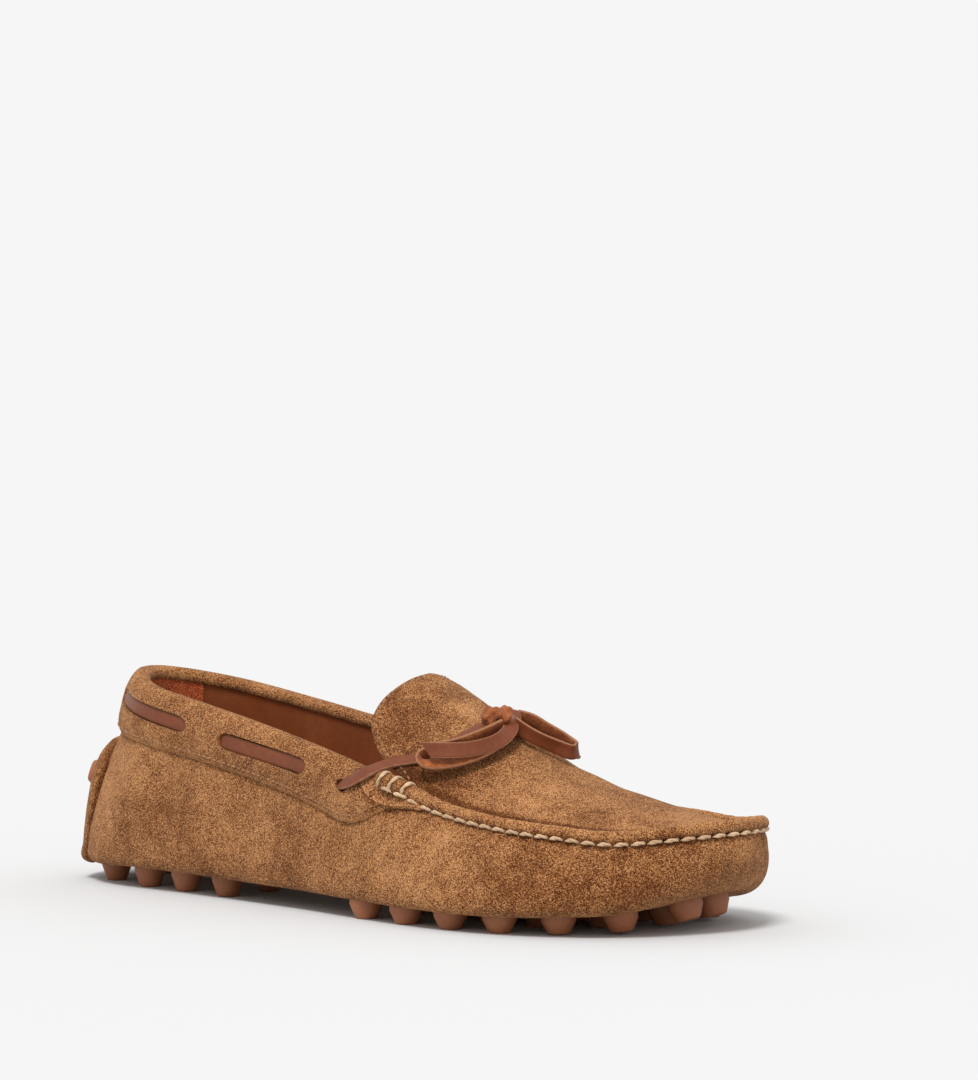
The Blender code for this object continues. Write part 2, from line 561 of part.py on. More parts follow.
def main():
    for item in list(bpy.data.objects):
        bpy.data.objects.remove(item)
    parts = bpy.data.collections.new("driving_loafer")
    cutters = bpy.data.collections.new("cutters")
    bpy.context.scene.collection.children.link(parts)
    bpy.context.scene.collection.children.link(cutters)
    suede = material("suede", (0.30, 0.165, 0.085), 0.95)
    leather = material("lace_leather", (0.20, 0.075, 0.04), 0.5)
    lining = material("lining_leather", (0.36, 0.16, 0.07), 0.6)
    rubber = material("rubber", (0.32, 0.15, 0.075), 0.6)
    upper = make_upper(suede, parts)
    make_apron(suede, parts)
    make_seam(suede, parts)
    make_band(suede, parts, cutters)
    make_heel_patch(suede, rubber, parts, cutters)
    make_sole(rubber, parts, cutters, upper)
    make_insole(lining, parts)
    make_lace_run(leather, parts)
    make_bow(leather, parts)


main()
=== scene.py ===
"""Looks of a right driving loafer: suede over a last, a hand-sewn apron, a leather lace and rubber studs.

Tables are in millimetres: x from the heel end, y to the inner side of the foot, z up from the floor.
"""

import math

import bpy
import numpy as np
from mathutils import Matrix, Vector
from mathutils.kdtree import KDTree


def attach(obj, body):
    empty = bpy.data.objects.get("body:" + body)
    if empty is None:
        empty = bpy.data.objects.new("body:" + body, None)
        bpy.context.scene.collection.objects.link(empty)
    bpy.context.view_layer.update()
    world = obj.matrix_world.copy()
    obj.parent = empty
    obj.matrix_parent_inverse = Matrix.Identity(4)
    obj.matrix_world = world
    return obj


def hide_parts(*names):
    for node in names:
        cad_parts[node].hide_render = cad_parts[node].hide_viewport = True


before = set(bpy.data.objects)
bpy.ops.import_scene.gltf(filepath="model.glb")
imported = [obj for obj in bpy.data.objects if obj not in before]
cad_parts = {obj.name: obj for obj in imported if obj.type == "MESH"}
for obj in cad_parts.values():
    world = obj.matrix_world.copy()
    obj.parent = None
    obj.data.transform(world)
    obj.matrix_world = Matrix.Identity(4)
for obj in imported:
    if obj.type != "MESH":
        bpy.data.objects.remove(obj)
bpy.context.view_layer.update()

# The studio: a plain pale floor in a bright even surround, with one broad soft light high over the camera,
# a little to its left, and a long lens held level at about one and a half times the height of the collar.
CAMERA_PLACE = (0.67492, -0.75485, 0.122)
CAMERA_TURN = (math.radians(90), 0, math.radians(40))
CAMERA_LENS = 100
CAMERA_SENSOR = 36
SURROUND_STRENGTH = 0.92
LIGHT_TURN = (math.radians(34), 0, math.radians(25))
LIGHT_STRENGTH = 2.43
LIGHT_SPREAD = math.radians(16)
FLOOR_WIDE = 60
FLOOR_GREY = 0.59

bpy.ops.object.camera_add(location=CAMERA_PLACE, rotation=CAMERA_TURN)
camera = bpy.context.object
camera.data.lens = CAMERA_LENS
camera.data.sensor_width = CAMERA_SENSOR
bpy.context.scene.camera = camera
bpy.context.scene.view_settings.view_transform = "Standard"
bpy.context.scene.view_settings.look = "None"

surround = bpy.data.worlds.new("studio_surround")
surround.use_nodes = True
surround.node_tree.nodes["Background"].inputs["Color"].default_value = (1.0, 1.0, 1.0, 1.0)
surround.node_tree.nodes["Background"].inputs["Strength"].default_value = SURROUND_STRENGTH
bpy.context.scene.world = surround

bpy.ops.object.light_add(type="SUN", rotation=LIGHT_TURN)
soft_light = bpy.context.object
soft_light.data.energy = LIGHT_STRENGTH
soft_light.data.angle = LIGHT_SPREAD

bpy.ops.mesh.primitive_plane_add(size=FLOOR_WIDE)
floor = bpy.context.object
floor.name = "studio_floor"
floor_paint = bpy.data.materials.new("floor_paint")
floor_paint.use_nodes = True
floor_shader = floor_paint.node_tree.nodes["Principled BSDF"]
floor_shader.inputs["Base Color"].default_value = (FLOOR_GREY, FLOOR_GREY, FLOOR_GREY, 1.0)
floor_shader.inputs["Roughness"].default_value = 1.0
floor_shader.inputs["Specular IOR Level"].default_value = 0.0
floor.data.materials.append(floor_paint)

# Suede shell: one soft hide drawn up round the last and under it, so sides, heel and bottom are one piece.
# The table gives sections of the last: bottom line, inner arch, top line, bulges and lean of the wall.
TABLE_ORIGIN = np.array([141.38, 0.95, 0.0])
MM = 0.001
LAST_COLUMNS = ("x", "bottom_y", "bottom_half", "bottom_z", "arch",
                "top_y", "top_half", "top_z", "low_reach", "high_reach", "lean")
LAST = np.array([
    (28, 0.0, 20.5, 7.6, 0.0, 0.0, 8.5, 73.8, 12.0, 34.0, 17.0),
    (45, -0.5, 26.5, 7.6, 0.0, 0.0, 22.5, 70.0, 9.5, 35.0, 12.0),
    (75, -2.0, 28.5, 7.4, 0.8, 0.0, 27.0, 64.3, 8.0, 32.0, 8.0),
    (105, -4.5, 29.0, 7.0, 2.4, -0.5, 29.0, 58.6, 7.5, 26.0, 8.0),
    (135, -5.0, 32.0, 6.6, 2.6, -1.0, 31.5, 52.4, 8.0, 20.0, 10.0),
    (165, -3.0, 39.5, 6.2, 1.0, -1.0, 34.5, 45.2, 8.0, 16.0, 22.0),
    (190, -0.5, 45.5, 5.9, 0.2, -0.5, 36.7, 36.6, 8.0, 13.0, 36.0),
    (215, 1.5, 46.5, 5.7, 0.0, -0.3, 38.0, 32.4, 9.0, 12.2, 42.0),
    (240, 4.0, 40.0, 6.2, 0.0, 3.0, 37.6, 30.1, 9.5, 11.5, 38.0),
    (258, 6.5, 28.5, 7.8, 0.0, 6.0, 32.2, 28.9, 9.0, 11.0, 30.0),
    (267, 8.0, 15.0, 10.8, 0.0, 8.0, 26.0, 29.9, 7.0, 11.3, 26.0),
])
BOTTOM_ENDS = (11.0, 270.0)
TOP_ENDS = (25.0, 281.2)
SHELL_THICK = 1.9
TIP_REACH = 2.0
WALL_STEPS = np.linspace(1.0, 0.0, 61)
SEAM_START_X = 170.0
STITCH_PITCH = 5.2


def smooth(table_x, table_y, x):
    """Cubic curve through a table, straight past its ends."""
    step = np.diff(table_x)
    slope = np.diff(table_y) / step
    middle = (slope[:-1] * step[1:] + slope[1:] * step[:-1]) / (step[:-1] + step[1:])
    first, final = [1.5 * slope[k] - 0.5 * middle[k] for k in (0, -1)]
    tangent = np.concatenate(([first], middle, [final]))
    inside = np.clip(x, table_x[0], table_x[-1])
    i = np.clip(np.searchsorted(table_x, inside) - 1, 0, len(step) - 1)
    t = (inside - table_x[i]) / step[i]
    curve = ((2 * t**3 - 3 * t**2 + 1) * table_y[i] + (t**3 - 2 * t**2 + t) * step[i] * tangent[i]
             + (3 * t**2 - 2 * t**3) * table_y[i + 1] + (t**3 - t**2) * step[i] * tangent[i + 1])
    beyond = np.minimum(x - table_x[0], 0) * tangent[0] + np.maximum(x - table_x[-1], 0) * tangent[-1]
    return curve + beyond


def last(name, x):
    return smooth(LAST[:, 0], LAST[:, LAST_COLUMNS.index(name)], np.asarray(x, float))


def angle_at(ends, x):
    """Angle of a section round an outline: 0 at the heel, pi at the toe."""
    return np.arccos(np.clip(1 - 2 * (x - ends[0]) / (ends[1] - ends[0]), -1, 1))


def outline(line, angle):
    """Plan point of the bottom or top outline; negative angles lie on the outer side."""
    ends = BOTTOM_ENDS if line == "bottom" else TOP_ENDS
    x = ends[0] + (ends[1] - ends[0]) * (1 - np.cos(angle)) / 2
    table_angle = angle_at(ends, LAST[:, 0])
    full = LAST[:, LAST_COLUMNS.index(line + "_half")] / np.sin(table_angle)
    turn = np.clip(np.abs(angle), table_angle[0], table_angle[-1])
    centre = last(line + "_y", np.clip(x, LAST[0, 0], LAST[-1, 0]))
    return x, centre + np.sin(angle) * smooth(table_angle, full, turn)


def wall(angle, rise):
    """Point on the outside of the shell's wall, from its foot (rise 0) to its top line (rise 1)."""
    angle, rise = np.broadcast_arrays(np.asarray(angle, float), np.asarray(rise, float))
    nudge = 0.001
    ahead = np.stack(outline("bottom", angle + nudge))
    behind = np.stack(outline("bottom", angle - nudge))
    along = (ahead - behind) / np.linalg.norm(ahead - behind, axis=0)
    out = np.stack([-along[1], along[0], np.zeros_like(angle)], axis=-1)
    up = np.array([0.0, 0.0, 1.0])
    foot_x, foot_y = outline("bottom", angle)
    top_x, top_y = outline("top", angle)
    foot_z = last("bottom_z", foot_x) + last("arch", foot_x) * np.maximum(np.sin(angle), 0)
    foot = np.stack([foot_x, foot_y, foot_z], axis=-1)
    top = np.stack([top_x, top_y, last("top_z", top_x)], axis=-1)
    lean = np.radians(last("lean", top_x))[..., None]
    low = foot + last("low_reach", foot_x)[..., None] * out
    high = top + last("high_reach", top_x)[..., None] * (np.sin(lean) * out - np.cos(lean) * up)
    t = rise[..., None]
    return (1 - t)**3 * foot + 3 * t * (1 - t)**2 * low + 3 * t**2 * (1 - t) * high + t**3 * top


def unit(vector):
    return vector / np.linalg.norm(vector, axis=-1, keepdims=True)


def run_of(points):
    """Distance along a row of points."""
    return np.concatenate(([0.0], np.cumsum(np.linalg.norm(np.diff(points, axis=0), axis=1))))


def wall_directions(angle, rise):
    """Unit vectors up the wall and out of it."""
    nudge = 0.002
    inside = np.clip(rise, nudge, 1 - nudge)
    up = unit(wall(angle, inside + nudge) - wall(angle, inside - nudge))
    along = unit(wall(angle + nudge, inside) - wall(angle - nudge, inside))
    return up, unit(np.cross(up, along))


def lay_on_wall(angles, drops, lifts):
    """Rows of points over the shell: for each angle, drops from its top line and lifts off its face."""
    rows = []
    for angle, drop, lift in zip(angles, drops, lifts):
        drop, lift = np.asarray(drop, float), np.asarray(lift, float)
        run = run_of(wall(angle, WALL_STEPS))
        rise = np.interp(np.maximum(drop, 0.0), run, WALL_STEPS)
        turn = np.full_like(rise, angle)
        up, out = wall_directions(turn, rise)
        rows.append(wall(turn, rise) + up * np.maximum(-drop, 0.0)[:, None] + out * lift[:, None])
    return np.array(rows)


def sheet(name, grid):
    """Sheet of quads through rows of points."""
    rows, columns = grid.shape[:2]
    bpy.ops.object.select_all(action="DESELECT")
    bpy.ops.mesh.primitive_grid_add(x_subdivisions=columns - 1, y_subdivisions=rows - 1)
    piece = bpy.context.object
    piece.name = name
    piece.data.name = name
    piece.data.vertices.foreach_set("co", ((grid - TABLE_ORIGIN) * MM).ravel())
    piece.data.update()
    return piece


def make_active(piece):
    """Makes a piece the only one selected."""
    bpy.ops.object.select_all(action="DESELECT")
    piece.select_set(True)
    bpy.context.view_layer.objects.active = piece


def weld(piece, close=False):
    """Joins the edges that meet, and closes the open ends of a tube."""
    bpy.context.view_layer.objects.active = piece
    bpy.ops.object.mode_set(mode="EDIT")
    bpy.ops.mesh.select_all(action="SELECT")
    bpy.ops.mesh.remove_doubles(threshold=0.00002)
    if close:
        bpy.ops.mesh.fill_holes(sides=0)
        bpy.ops.mesh.normals_make_consistent(inside=False)
    bpy.ops.object.mode_set(mode="OBJECT")


def finish_with(piece, kind, **settings):
    """Adds a modifier and applies it."""
    made = piece.modifiers.new(kind.lower(), kind)
    for name, value in settings.items():
        setattr(made, name, value)
    make_active(piece)
    bpy.ops.object.modifier_apply(modifier=made.name)


def shade(piece, degrees):
    make_active(piece)
    bpy.ops.object.shade_smooth_by_angle(angle=math.radians(degrees))


def crease(points, facing, folds):
    """Presses soft troughs with low ridges beside them: start, end, half width and depth of each."""
    pressed = points.copy()
    for start, end, wide, deep in folds:
        start, end = np.array(start, float), np.array(end, float)
        along = end - start
        share = np.clip(((points - start) @ along) / (along @ along), 0, 1)
        away = np.linalg.norm(points - start - share[..., None] * along, axis=-1)
        fade = np.sin(np.pi * np.clip(0.12 + 0.76 * share, 0, 1))
        shape = np.exp(-(away / wide)**2) - 0.4 * np.exp(-((away - 2.0 * wide) / wide)**2)
        pressed -= facing * (deep * fade * shape)[..., None]
    return pressed


def facing_of(grid):
    return unit(np.cross(np.gradient(grid, axis=1), np.gradient(grid, axis=0)) + 1e-9)


def paint_nap_light_and_shade(piece, patches, lines=()):
    """Nap and painted light and shade: lighter and darker patches and lines, each with place, reach and
    strength.
    """
    points = np.zeros(len(piece.data.vertices) * 3)
    piece.data.vertices.foreach_get("co", points)
    points = points.reshape(-1, 3) / MM + TABLE_ORIGIN
    nap = np.zeros(len(points))
    for place, reach, strength in patches:
        nap += strength * np.exp(-(np.linalg.norm(points - np.array(place), axis=1) / reach)**2)
    for line, reach, strength in lines:
        tree = KDTree(len(line))
        for k, point in enumerate(line):
            tree.insert(point, k)
        tree.balance()
        away = np.array([tree.find(point)[2] for point in points])
        nap += strength * np.exp(-(away / reach)**2)
    piece.data.attributes.new("nap", "FLOAT", "POINT").data.foreach_set("value", nap)


class Shade:
    """A shader value; plain arithmetic on it adds Math nodes."""

    def __init__(self, tree, socket):
        self.tree = tree
        self.socket = socket

    def node(self, kind, settings, sockets, output=0):
        made = self.tree.nodes.new(kind)
        for name, value in settings.items():
            if name == "stops":
                while len(made.color_ramp.elements) < len(value):
                    made.color_ramp.elements.new(1.0)
                for stop, (place, colour) in zip(made.color_ramp.elements, value):
                    stop.position = place
                    stop.color = (*colour, 1.0)
            else:
                setattr(made, name, value)
        for name, value in sockets.items():
            if isinstance(value, Shade):
                self.tree.links.new(value.socket, made.inputs[name])
            else:
                made.inputs[name].default_value = value
        return Shade(self.tree, made.outputs[output])

    def maths(self, operation, first, second):
        return self.node("ShaderNodeMath", {"operation": operation}, {0: first, 1: second})

    def noise(self, scale, detail=2.0, rough=0.5):
        sockets = {"Vector": self, "Scale": scale, "Detail": detail, "Roughness": rough}
        return self.node("ShaderNodeTexNoise", {}, sockets)

    def ramp(self, *stops):
        return self.node("ShaderNodeValToRGB", {"stops": stops}, {"Fac": self})

    def __add__(self, other):
        return self.maths("ADD", self, other)

    def __radd__(self, other):
        return self.maths("ADD", other, self)

    def __sub__(self, other):
        return self.maths("SUBTRACT", self, other)

    def __rsub__(self, other):
        return self.maths("SUBTRACT", other, self)

    def __mul__(self, other):
        return self.maths("MULTIPLY", self, other)

    def __rmul__(self, other):
        return self.maths("MULTIPLY", other, self)


def new_finish(name, rough, sheen=0.0, tint=(1.0, 1.0, 1.0), coat=0.0):
    """Material with its Principled shader and the place on the object as a shader value."""
    finish = bpy.data.materials.new(name)
    finish.use_nodes = True
    shader = finish.node_tree.nodes["Principled BSDF"]
    shader.inputs["Roughness"].default_value = rough
    shader.inputs["Sheen Weight"].default_value = sheen
    shader.inputs["Sheen Roughness"].default_value = 0.55
    shader.inputs["Sheen Tint"].default_value = (*tint, 1.0)
    shader.inputs["Coat Weight"].default_value = coat
    place = Shade(finish.node_tree, finish.node_tree.nodes.new("ShaderNodeTexCoord").outputs["Object"])
    return finish, shader, place


def feed(shader, **shades):
    for name, value in shades.items():
        value.tree.links.new(value.socket, shader.inputs[name.replace("_", " ")])


def relief(height, strength, depth):
    """Bump of a depth in metres."""
    return height.node("ShaderNodeBump", {}, {"Strength": strength, "Distance": depth, "Height": height})


def suede_finish(name, dark, mid, light):
    """Napped suede: brushed patches, soft mottling, painted light and shade, and short fibres that catch the
    light.
    """
    finish, shader, place = new_finish(name, 0.95, sheen=0.09, tint=(1.0, 0.74, 0.5))
    shader.inputs["Specular IOR Level"].default_value = 0.12
    cloud = place.noise(28.0, 3.0, 0.55)
    brushed = place.noise(85.0, 3.0, 0.6)
    mottle = place.noise(220.0, 2.0, 0.5)
    fibre = place.noise(2400.0, 2.0, 0.7)
    cells = place.node("ShaderNodeTexVoronoi", {}, {"Vector": place, "Scale": 4200.0}, output=1)
    speck = cells.node("ShaderNodeSeparateColor", {}, {"Color": cells})
    # The attribute read here holds the nap and the painted light and shade laid on each piece.
    nap = place.node("ShaderNodeAttribute", {"attribute_name": "nap"}, {}, output=2)
    broad = 0.6 * (cloud - 0.5) + 0.62 * (brushed - 0.5) + 0.5 * (mottle - 0.5) + 0.19 * nap
    # The fibre noise and fine specks in the colour are partly the suede's own tone and partly painted glints
    # of fibres.
    tone = 0.5 + broad + 0.7 * (fibre - 0.5) + 1.25 * (speck - 0.5)
    colour = tone.ramp((0.0, dark), (0.5, mid), (1.0, light))
    feed(shader, Base_Color=colour, Normal=relief(fibre + 0.25 * mottle, 0.7, 0.0007))
    return finish


SHELL_FOLDS = [
    ((183, -42, 39), (203, -47, 20), 5.0, 0.75), ((204, -41, 33), (214, -48, 15), 5.5, 0.6),
    ((226, -42, 31), (233, -46, 16), 5.0, 0.45), ((66, -32, 47), (58, -32, 25), 8.0, 0.8),
    ((118, -33, 40), (101, -35, 20), 9.0, 0.6), ((267, -26, 28), (259, -34, 13), 5.0, 0.45),
    ((150, -38, 34), (168, -44, 15), 7.0, 0.5), ((34, -22, 50), (30, -26, 24), 7.0, 0.5),
    ((186, 40, 38), (205, 46, 20), 5.0, 0.7), ((210, 42, 31), (219, 47, 15), 5.5, 0.6),
    ((120, 30, 42), (106, 31, 22), 9.0, 0.8), ((70, 31, 46), (60, 31, 24), 8.0, 0.6),
    ((262, 36, 27), (258, 38, 13), 5.0, 0.4),
]
# Patches on the shell: partly the suede's own tone, partly painted shade low down the forefoot and painted
# light at the toe's end.
SHELL_NAP_LIGHT_AND_SHADE = [
    ((28, -24, 34), 15, 1.0), ((50, -31, 36), 11, 0.8), ((64, -32, 32), 12, -1.0),
    ((90, -34, 26), 16, 0.5), ((109, -36, 25), 14, -0.3), ((184, -45, 24), 13, 0.1),
    ((217, -45, 23), 14, 0.5), ((232, -43, 20), 12, -0.5), ((268, -24, 19), 15, -0.8),
    ((256, -33, 21), 10, 0.4), ((281, 4, 26), 9, 0.7), ((150, -42, 22), 16, -0.4),
    ((46, -32, 23), 9, -1.1), ((83, -34, 18), 13, -1.1), ((216, -47, 19), 12, -0.6),
    ((235, -44, 16), 13, -0.9), ((252, -36, 18), 13, -0.9), ((260, -29, 22), 8, -0.3),
    ((137, -40, 17), 14, -0.4), ((162, -45, 13), 10, -0.4), ((279, -2, 20), 8, -0.5),
    ((91, -33, 34), 8, 0.6), ((22, -19, 37), 7, 1.1), ((61, -30, 41), 8, 0.4), ((282, 8, 29), 6, 0.9),
    ((264, -24, 24), 6, 0.5), ((277, -9, 26), 7, 0.3), ((200, -44, 29), 6, 0.8), ((60, 31, 30), 14, 0.8),
    ((120, 32, 28), 16, -0.6), ((190, 44, 22), 16, 0.7), ((250, 40, 20), 14, -0.7),
    ((25, 10, 40), 12, 0.5),
]
FLAP_SHADOW = np.array([(170, 7.0), (174, 7.2), (177, 6.4), (180, 4.9), (184, 2.9)])
PUCKER_DEEP = 0.38
HEEL_FULLNESS = np.array([
    (0.03, 0.0), (0.10, 2.6), (0.16, 4.2), (0.27, 2.9), (0.40, 2.2), (0.52, 1.8), (0.64, 1.5),
    (0.74, 0.7), (0.85, 0.0),
])
HEEL_FULL_TO = (0.36, 0.95)


def heel_fullness(angle, rise):
    """How far the shell is padded out round the back of the heel."""
    fade = np.clip((HEEL_FULL_TO[1] - np.abs(angle)) / (HEEL_FULL_TO[1] - HEEL_FULL_TO[0]), 0, 1)
    inside = np.clip(rise, HEEL_FULLNESS[0, 0], HEEL_FULLNESS[-1, 0])
    padding = np.maximum(smooth(HEEL_FULLNESS[:, 0], HEEL_FULLNESS[:, 1], inside), 0)
    return padding * fade**2 * (3 - 2 * fade)


def wall_long(angle):
    """Length of the wall from its top line to its foot."""
    return float(run_of(wall(angle, WALL_STEPS))[-1])


def refine_line(points, count):
    """More points on a smooth curve through a few."""
    run = run_of(points)
    fine = np.linspace(0.0, run[-1], count)
    return np.stack([smooth(run, points[:, k], fine) for k in range(3)], axis=-1)


def floor_point(x, across, lift):
    """Point over the bottom: across from -1 (outer edge) to 1 (inner edge), lifted off its outer face."""
    angle = angle_at(BOTTOM_ENDS, x)
    slope = math.atan(float(last("bottom_z", x + 1.0) - last("bottom_z", x - 1.0)) / 2.0)
    edges = [float(outline("bottom", side * angle)[1]) for side in (-1, 1)]
    share = (1 + across) / 2
    height = float(last("bottom_z", x) + last("arch", x) * math.sin(angle) * share)
    y = edges[0] + (edges[1] - edges[0]) * share
    return np.array([x - math.sin(slope) * lift, y, height + math.cos(slope) * lift])


seam_from = float(angle_at(TOP_ENDS, SEAM_START_X))
seam_half = np.linspace(seam_from, math.pi, 400)
seam_half_run = run_of(wall(seam_half, np.ones_like(seam_half)))
half_around = np.concatenate([np.linspace(0.0, seam_from, 91), np.linspace(seam_from, math.pi, 151)[1:]])
around = np.concatenate([-half_around[:0:-1], half_around])
rises = np.concatenate([np.linspace(1.0, 0.80, 15), np.linspace(0.80, 0.0, 36)[1:]])
shell = wall(around[None, :], rises[:, None])
drop = np.cumsum(np.linalg.norm(np.diff(shell, axis=0, prepend=shell[:1]), axis=-1), axis=0)
bottom_shares = np.linspace(0.0, 0.5, 9)[1:, None, None]
shell = np.concatenate([shell, shell[-1] + (shell[-1][::-1] - shell[-1]) * bottom_shares])
facing = facing_of(shell)
stitch_phase = np.interp(np.abs(around), seam_half, seam_half_run) / STITCH_PITCH
sewn = np.interp(np.abs(around), (seam_from, seam_from + 0.1), (0.0, 1.0))
pucker = PUCKER_DEEP * sewn * np.cos(2 * math.pi * stitch_phase) * np.exp(-((drop - 2.5) / 2.6)**2)
fullness = heel_fullness(around[None, :], rises[:, None])
shell[:len(rises)] += facing[:len(rises)] * (pucker + fullness)[..., None]
shell = crease(shell, facing, SHELL_FOLDS)
upper = sheet("suede_shell", shell)
weld(upper)
finish_with(upper, "SOLIDIFY", thickness=SHELL_THICK * MM, offset=-1.0, use_quality_normals=True)
# At the pointed ends of the bottom the inner face is set back above the outer one.
for tip_angle in (0.0, math.pi):
    tip = wall(tip_angle, 0.0) - TABLE_ORIGIN
    for corner in upper.data.vertices:
        from_tip = np.array(corner.co) / MM - tip
        if math.hypot(from_tip[0], from_tip[1]) < TIP_REACH and from_tip[2] < -SHELL_THICK / 2:
            corner.co.z = (tip[2] + SHELL_THICK) * MM
shade(upper, 60)
# Painted shade on the shell: a dark line along the top line under the seam's roll, and a painted shadow under
# the throat flaps' edges.
seam_foot_shade = np.concatenate([wall(side * seam_half, np.ones_like(seam_half)) for side in (-1, 1)])
flap_shadow = []
for side in (-1, 1):
    shadow_angles = side * angle_at(TOP_ENDS, FLAP_SHADOW[:, 0])
    shadow = lay_on_wall(shadow_angles, FLAP_SHADOW[:, 1:], 0 * FLAP_SHADOW[:, 1:])[:, 0]
    flap_shadow.append(refine_line(shadow, 40))
paint_nap_light_and_shade(upper, SHELL_NAP_LIGHT_AND_SHADE, [(seam_foot_shade, 1.5, -2.2), (np.concatenate(flap_shadow), 1.3, -1.8)])
suede = suede_finish("suede", (0.062, 0.014, 0.002), (0.214, 0.072, 0.0185), (0.53, 0.262, 0.108))
upper.data.materials.append(suede)
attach(upper, "root")
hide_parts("upper")

# Stud sole: a rubber sheet inside the shell whose studs come out through holes in its bottom, one row after
# another under the heel and the forefoot. A stud has a short straight collar and tapers to a flat end.
STUD_ROWS = [
    (21.0, -14.0, 14.0, 2), (45.0, -20.5, 19.5, 3), (65.0, -22.0, 19.5, 3), (87.0, -24.0, 17.0, 3),
    (164.0, -38.0, 27.0, 4), (183.0, -40.0, 36.0, 5), (202.0, -40.5, 40.5, 5), (219.5, -37.5, 40.5, 5),
    (236.5, -29.5, 36.5, 4), (251.0, -17.0, 29.0, 3), (263.5, -0.5, 13.5, 2),
]
STUD_RADIUS = 5.5
STUD_END_RADIUS = 3.5
STUD_STRAIGHT = 1.7
STUD_ROOT = 3.0
STUD_FLOOR_X = 225.0
STUD_FREE_LENGTH = 5.8
STUD_PATTERN_LONG = 6.0
STUD_SOFT_EDGE = 0.6
PLATE_LOW = 2.3
PLATE_THICK = 2.0
PLATE_INSET = 1.0


def one_stud(name, root, straight, long, radius, end_radius):
    """Stud pointing down from the origin: collar, taper and flat end with soft edges."""
    bpy.ops.object.select_all(action="DESELECT")
    bpy.ops.mesh.primitive_cylinder_add(vertices=28, radius=radius * MM, depth=(root + straight) * MM,
                                        location=(0, 0, (root - straight) * MM / 2))
    stud = bpy.context.object
    stud.name = name
    bpy.ops.object.transform_apply(location=True, rotation=False, scale=False)
    bpy.ops.object.mode_set(mode="EDIT")
    bpy.ops.mesh.select_mode(type="FACE")
    bpy.ops.mesh.select_all(action="DESELECT")
    bpy.ops.object.mode_set(mode="OBJECT")
    for face in stud.data.polygons:
        face.select = face.normal.z < -0.9
    bpy.ops.object.mode_set(mode="EDIT")
    bpy.ops.mesh.extrude_region_move(TRANSFORM_OT_translate={"value": (0, 0, -(long - straight) * MM)})
    bpy.ops.transform.resize(value=(end_radius / radius, end_radius / radius, 1))
    bpy.ops.mesh.bevel(offset=STUD_SOFT_EDGE * MM, segments=3, affect="EDGES")
    bpy.ops.mesh.select_all(action="SELECT")
    bpy.ops.mesh.normals_make_consistent(inside=False)
    bpy.ops.object.mode_set(mode="OBJECT")
    return stud


def set_studs(name, pattern, pattern_straight, pattern_long, places):
    """Copies of a stud, each at its place, along its axis and at its length, joined in one piece."""
    copies = []
    for start, axis, long in places:
        copy = pattern.copy()
        copy.data = pattern.data.copy()
        bpy.context.collection.objects.link(copy)
        turn = Vector((0, 0, -1)).rotation_difference(Vector(axis)).to_matrix().to_4x4()
        shift = Matrix.Translation(Vector((start - TABLE_ORIGIN) * MM))
        for corner in copy.data.vertices:
            depth = -corner.co.z / MM
            if depth > pattern_straight:
                longer = (long - pattern_straight) / (pattern_long - pattern_straight)
                corner.co.z = -(pattern_straight + (depth - pattern_straight) * longer) * MM
        copy.data.transform(shift @ turn)
        copies.append(copy)
    bpy.data.objects.remove(pattern)
    bpy.ops.object.select_all(action="DESELECT")
    for copy in copies:
        copy.select_set(True)
    bpy.context.view_layer.objects.active = copies[0]
    bpy.ops.object.join()
    joined = bpy.context.object
    joined.name = name
    joined.data.name = name
    return joined


def join(first, *others):
    bpy.ops.object.select_all(action="DESELECT")
    for piece in (first, *others):
        piece.select_set(True)
    bpy.context.view_layer.objects.active = first
    bpy.ops.object.join()


def stud_places():
    for x, first, final, count in STUD_ROWS:
        for y in np.linspace(first, final, count):
            edges = [floor_point(x, side, 0.0)[1] for side in (-1, 1)]
            across = 2 * (y - edges[0]) / (edges[1] - edges[0]) - 1
            start = floor_point(x, across, 0.0)
            if x < STUD_FLOOR_X:
                yield start, (0.0, 0.0, -1.0), start[2]
            else:
                yield start, unit(start - floor_point(x, across, 1.0)), STUD_FREE_LENGTH


def floor_layer(name, lift, inset, thick, skip):
    """Flat layer over the shell's bottom, its upper face at a lift off the outside."""
    rows = []
    for angle in np.linspace(0.0, math.pi, 73)[skip:-skip]:
        x, edge = outline("bottom", angle)
        share = 1 - 2 * inset / float(edge - outline("bottom", -angle)[1])
        rows.append([floor_point(float(x), across, lift) for across in np.linspace(share, -share, 21)])
    layer = sheet(name, np.array(rows))
    finish_with(layer, "SOLIDIFY", thickness=thick * MM, offset=-1.0)
    return layer


def blended_finish(name, rough, noises, stops, bump, sheen=0.0, gloss=None):
    """Finish coloured by weighted noises, over a bump; gloss is a least roughness, its span and its noise."""
    finish, shader, place = new_finish(name, rough, sheen=sheen)
    tone = 0.5
    for weight, *noise in noises:
        tone = tone + weight * (place.noise(*noise) - 0.5)
    bump_noise, strength, depth = bump
    feed(shader, Base_Color=tone.ramp(*stops), Normal=relief(place.noise(*bump_noise), strength, depth))
    if gloss:
        least, span, *noise = gloss
        feed(shader, Roughness=least + span * place.noise(*noise))
    return finish


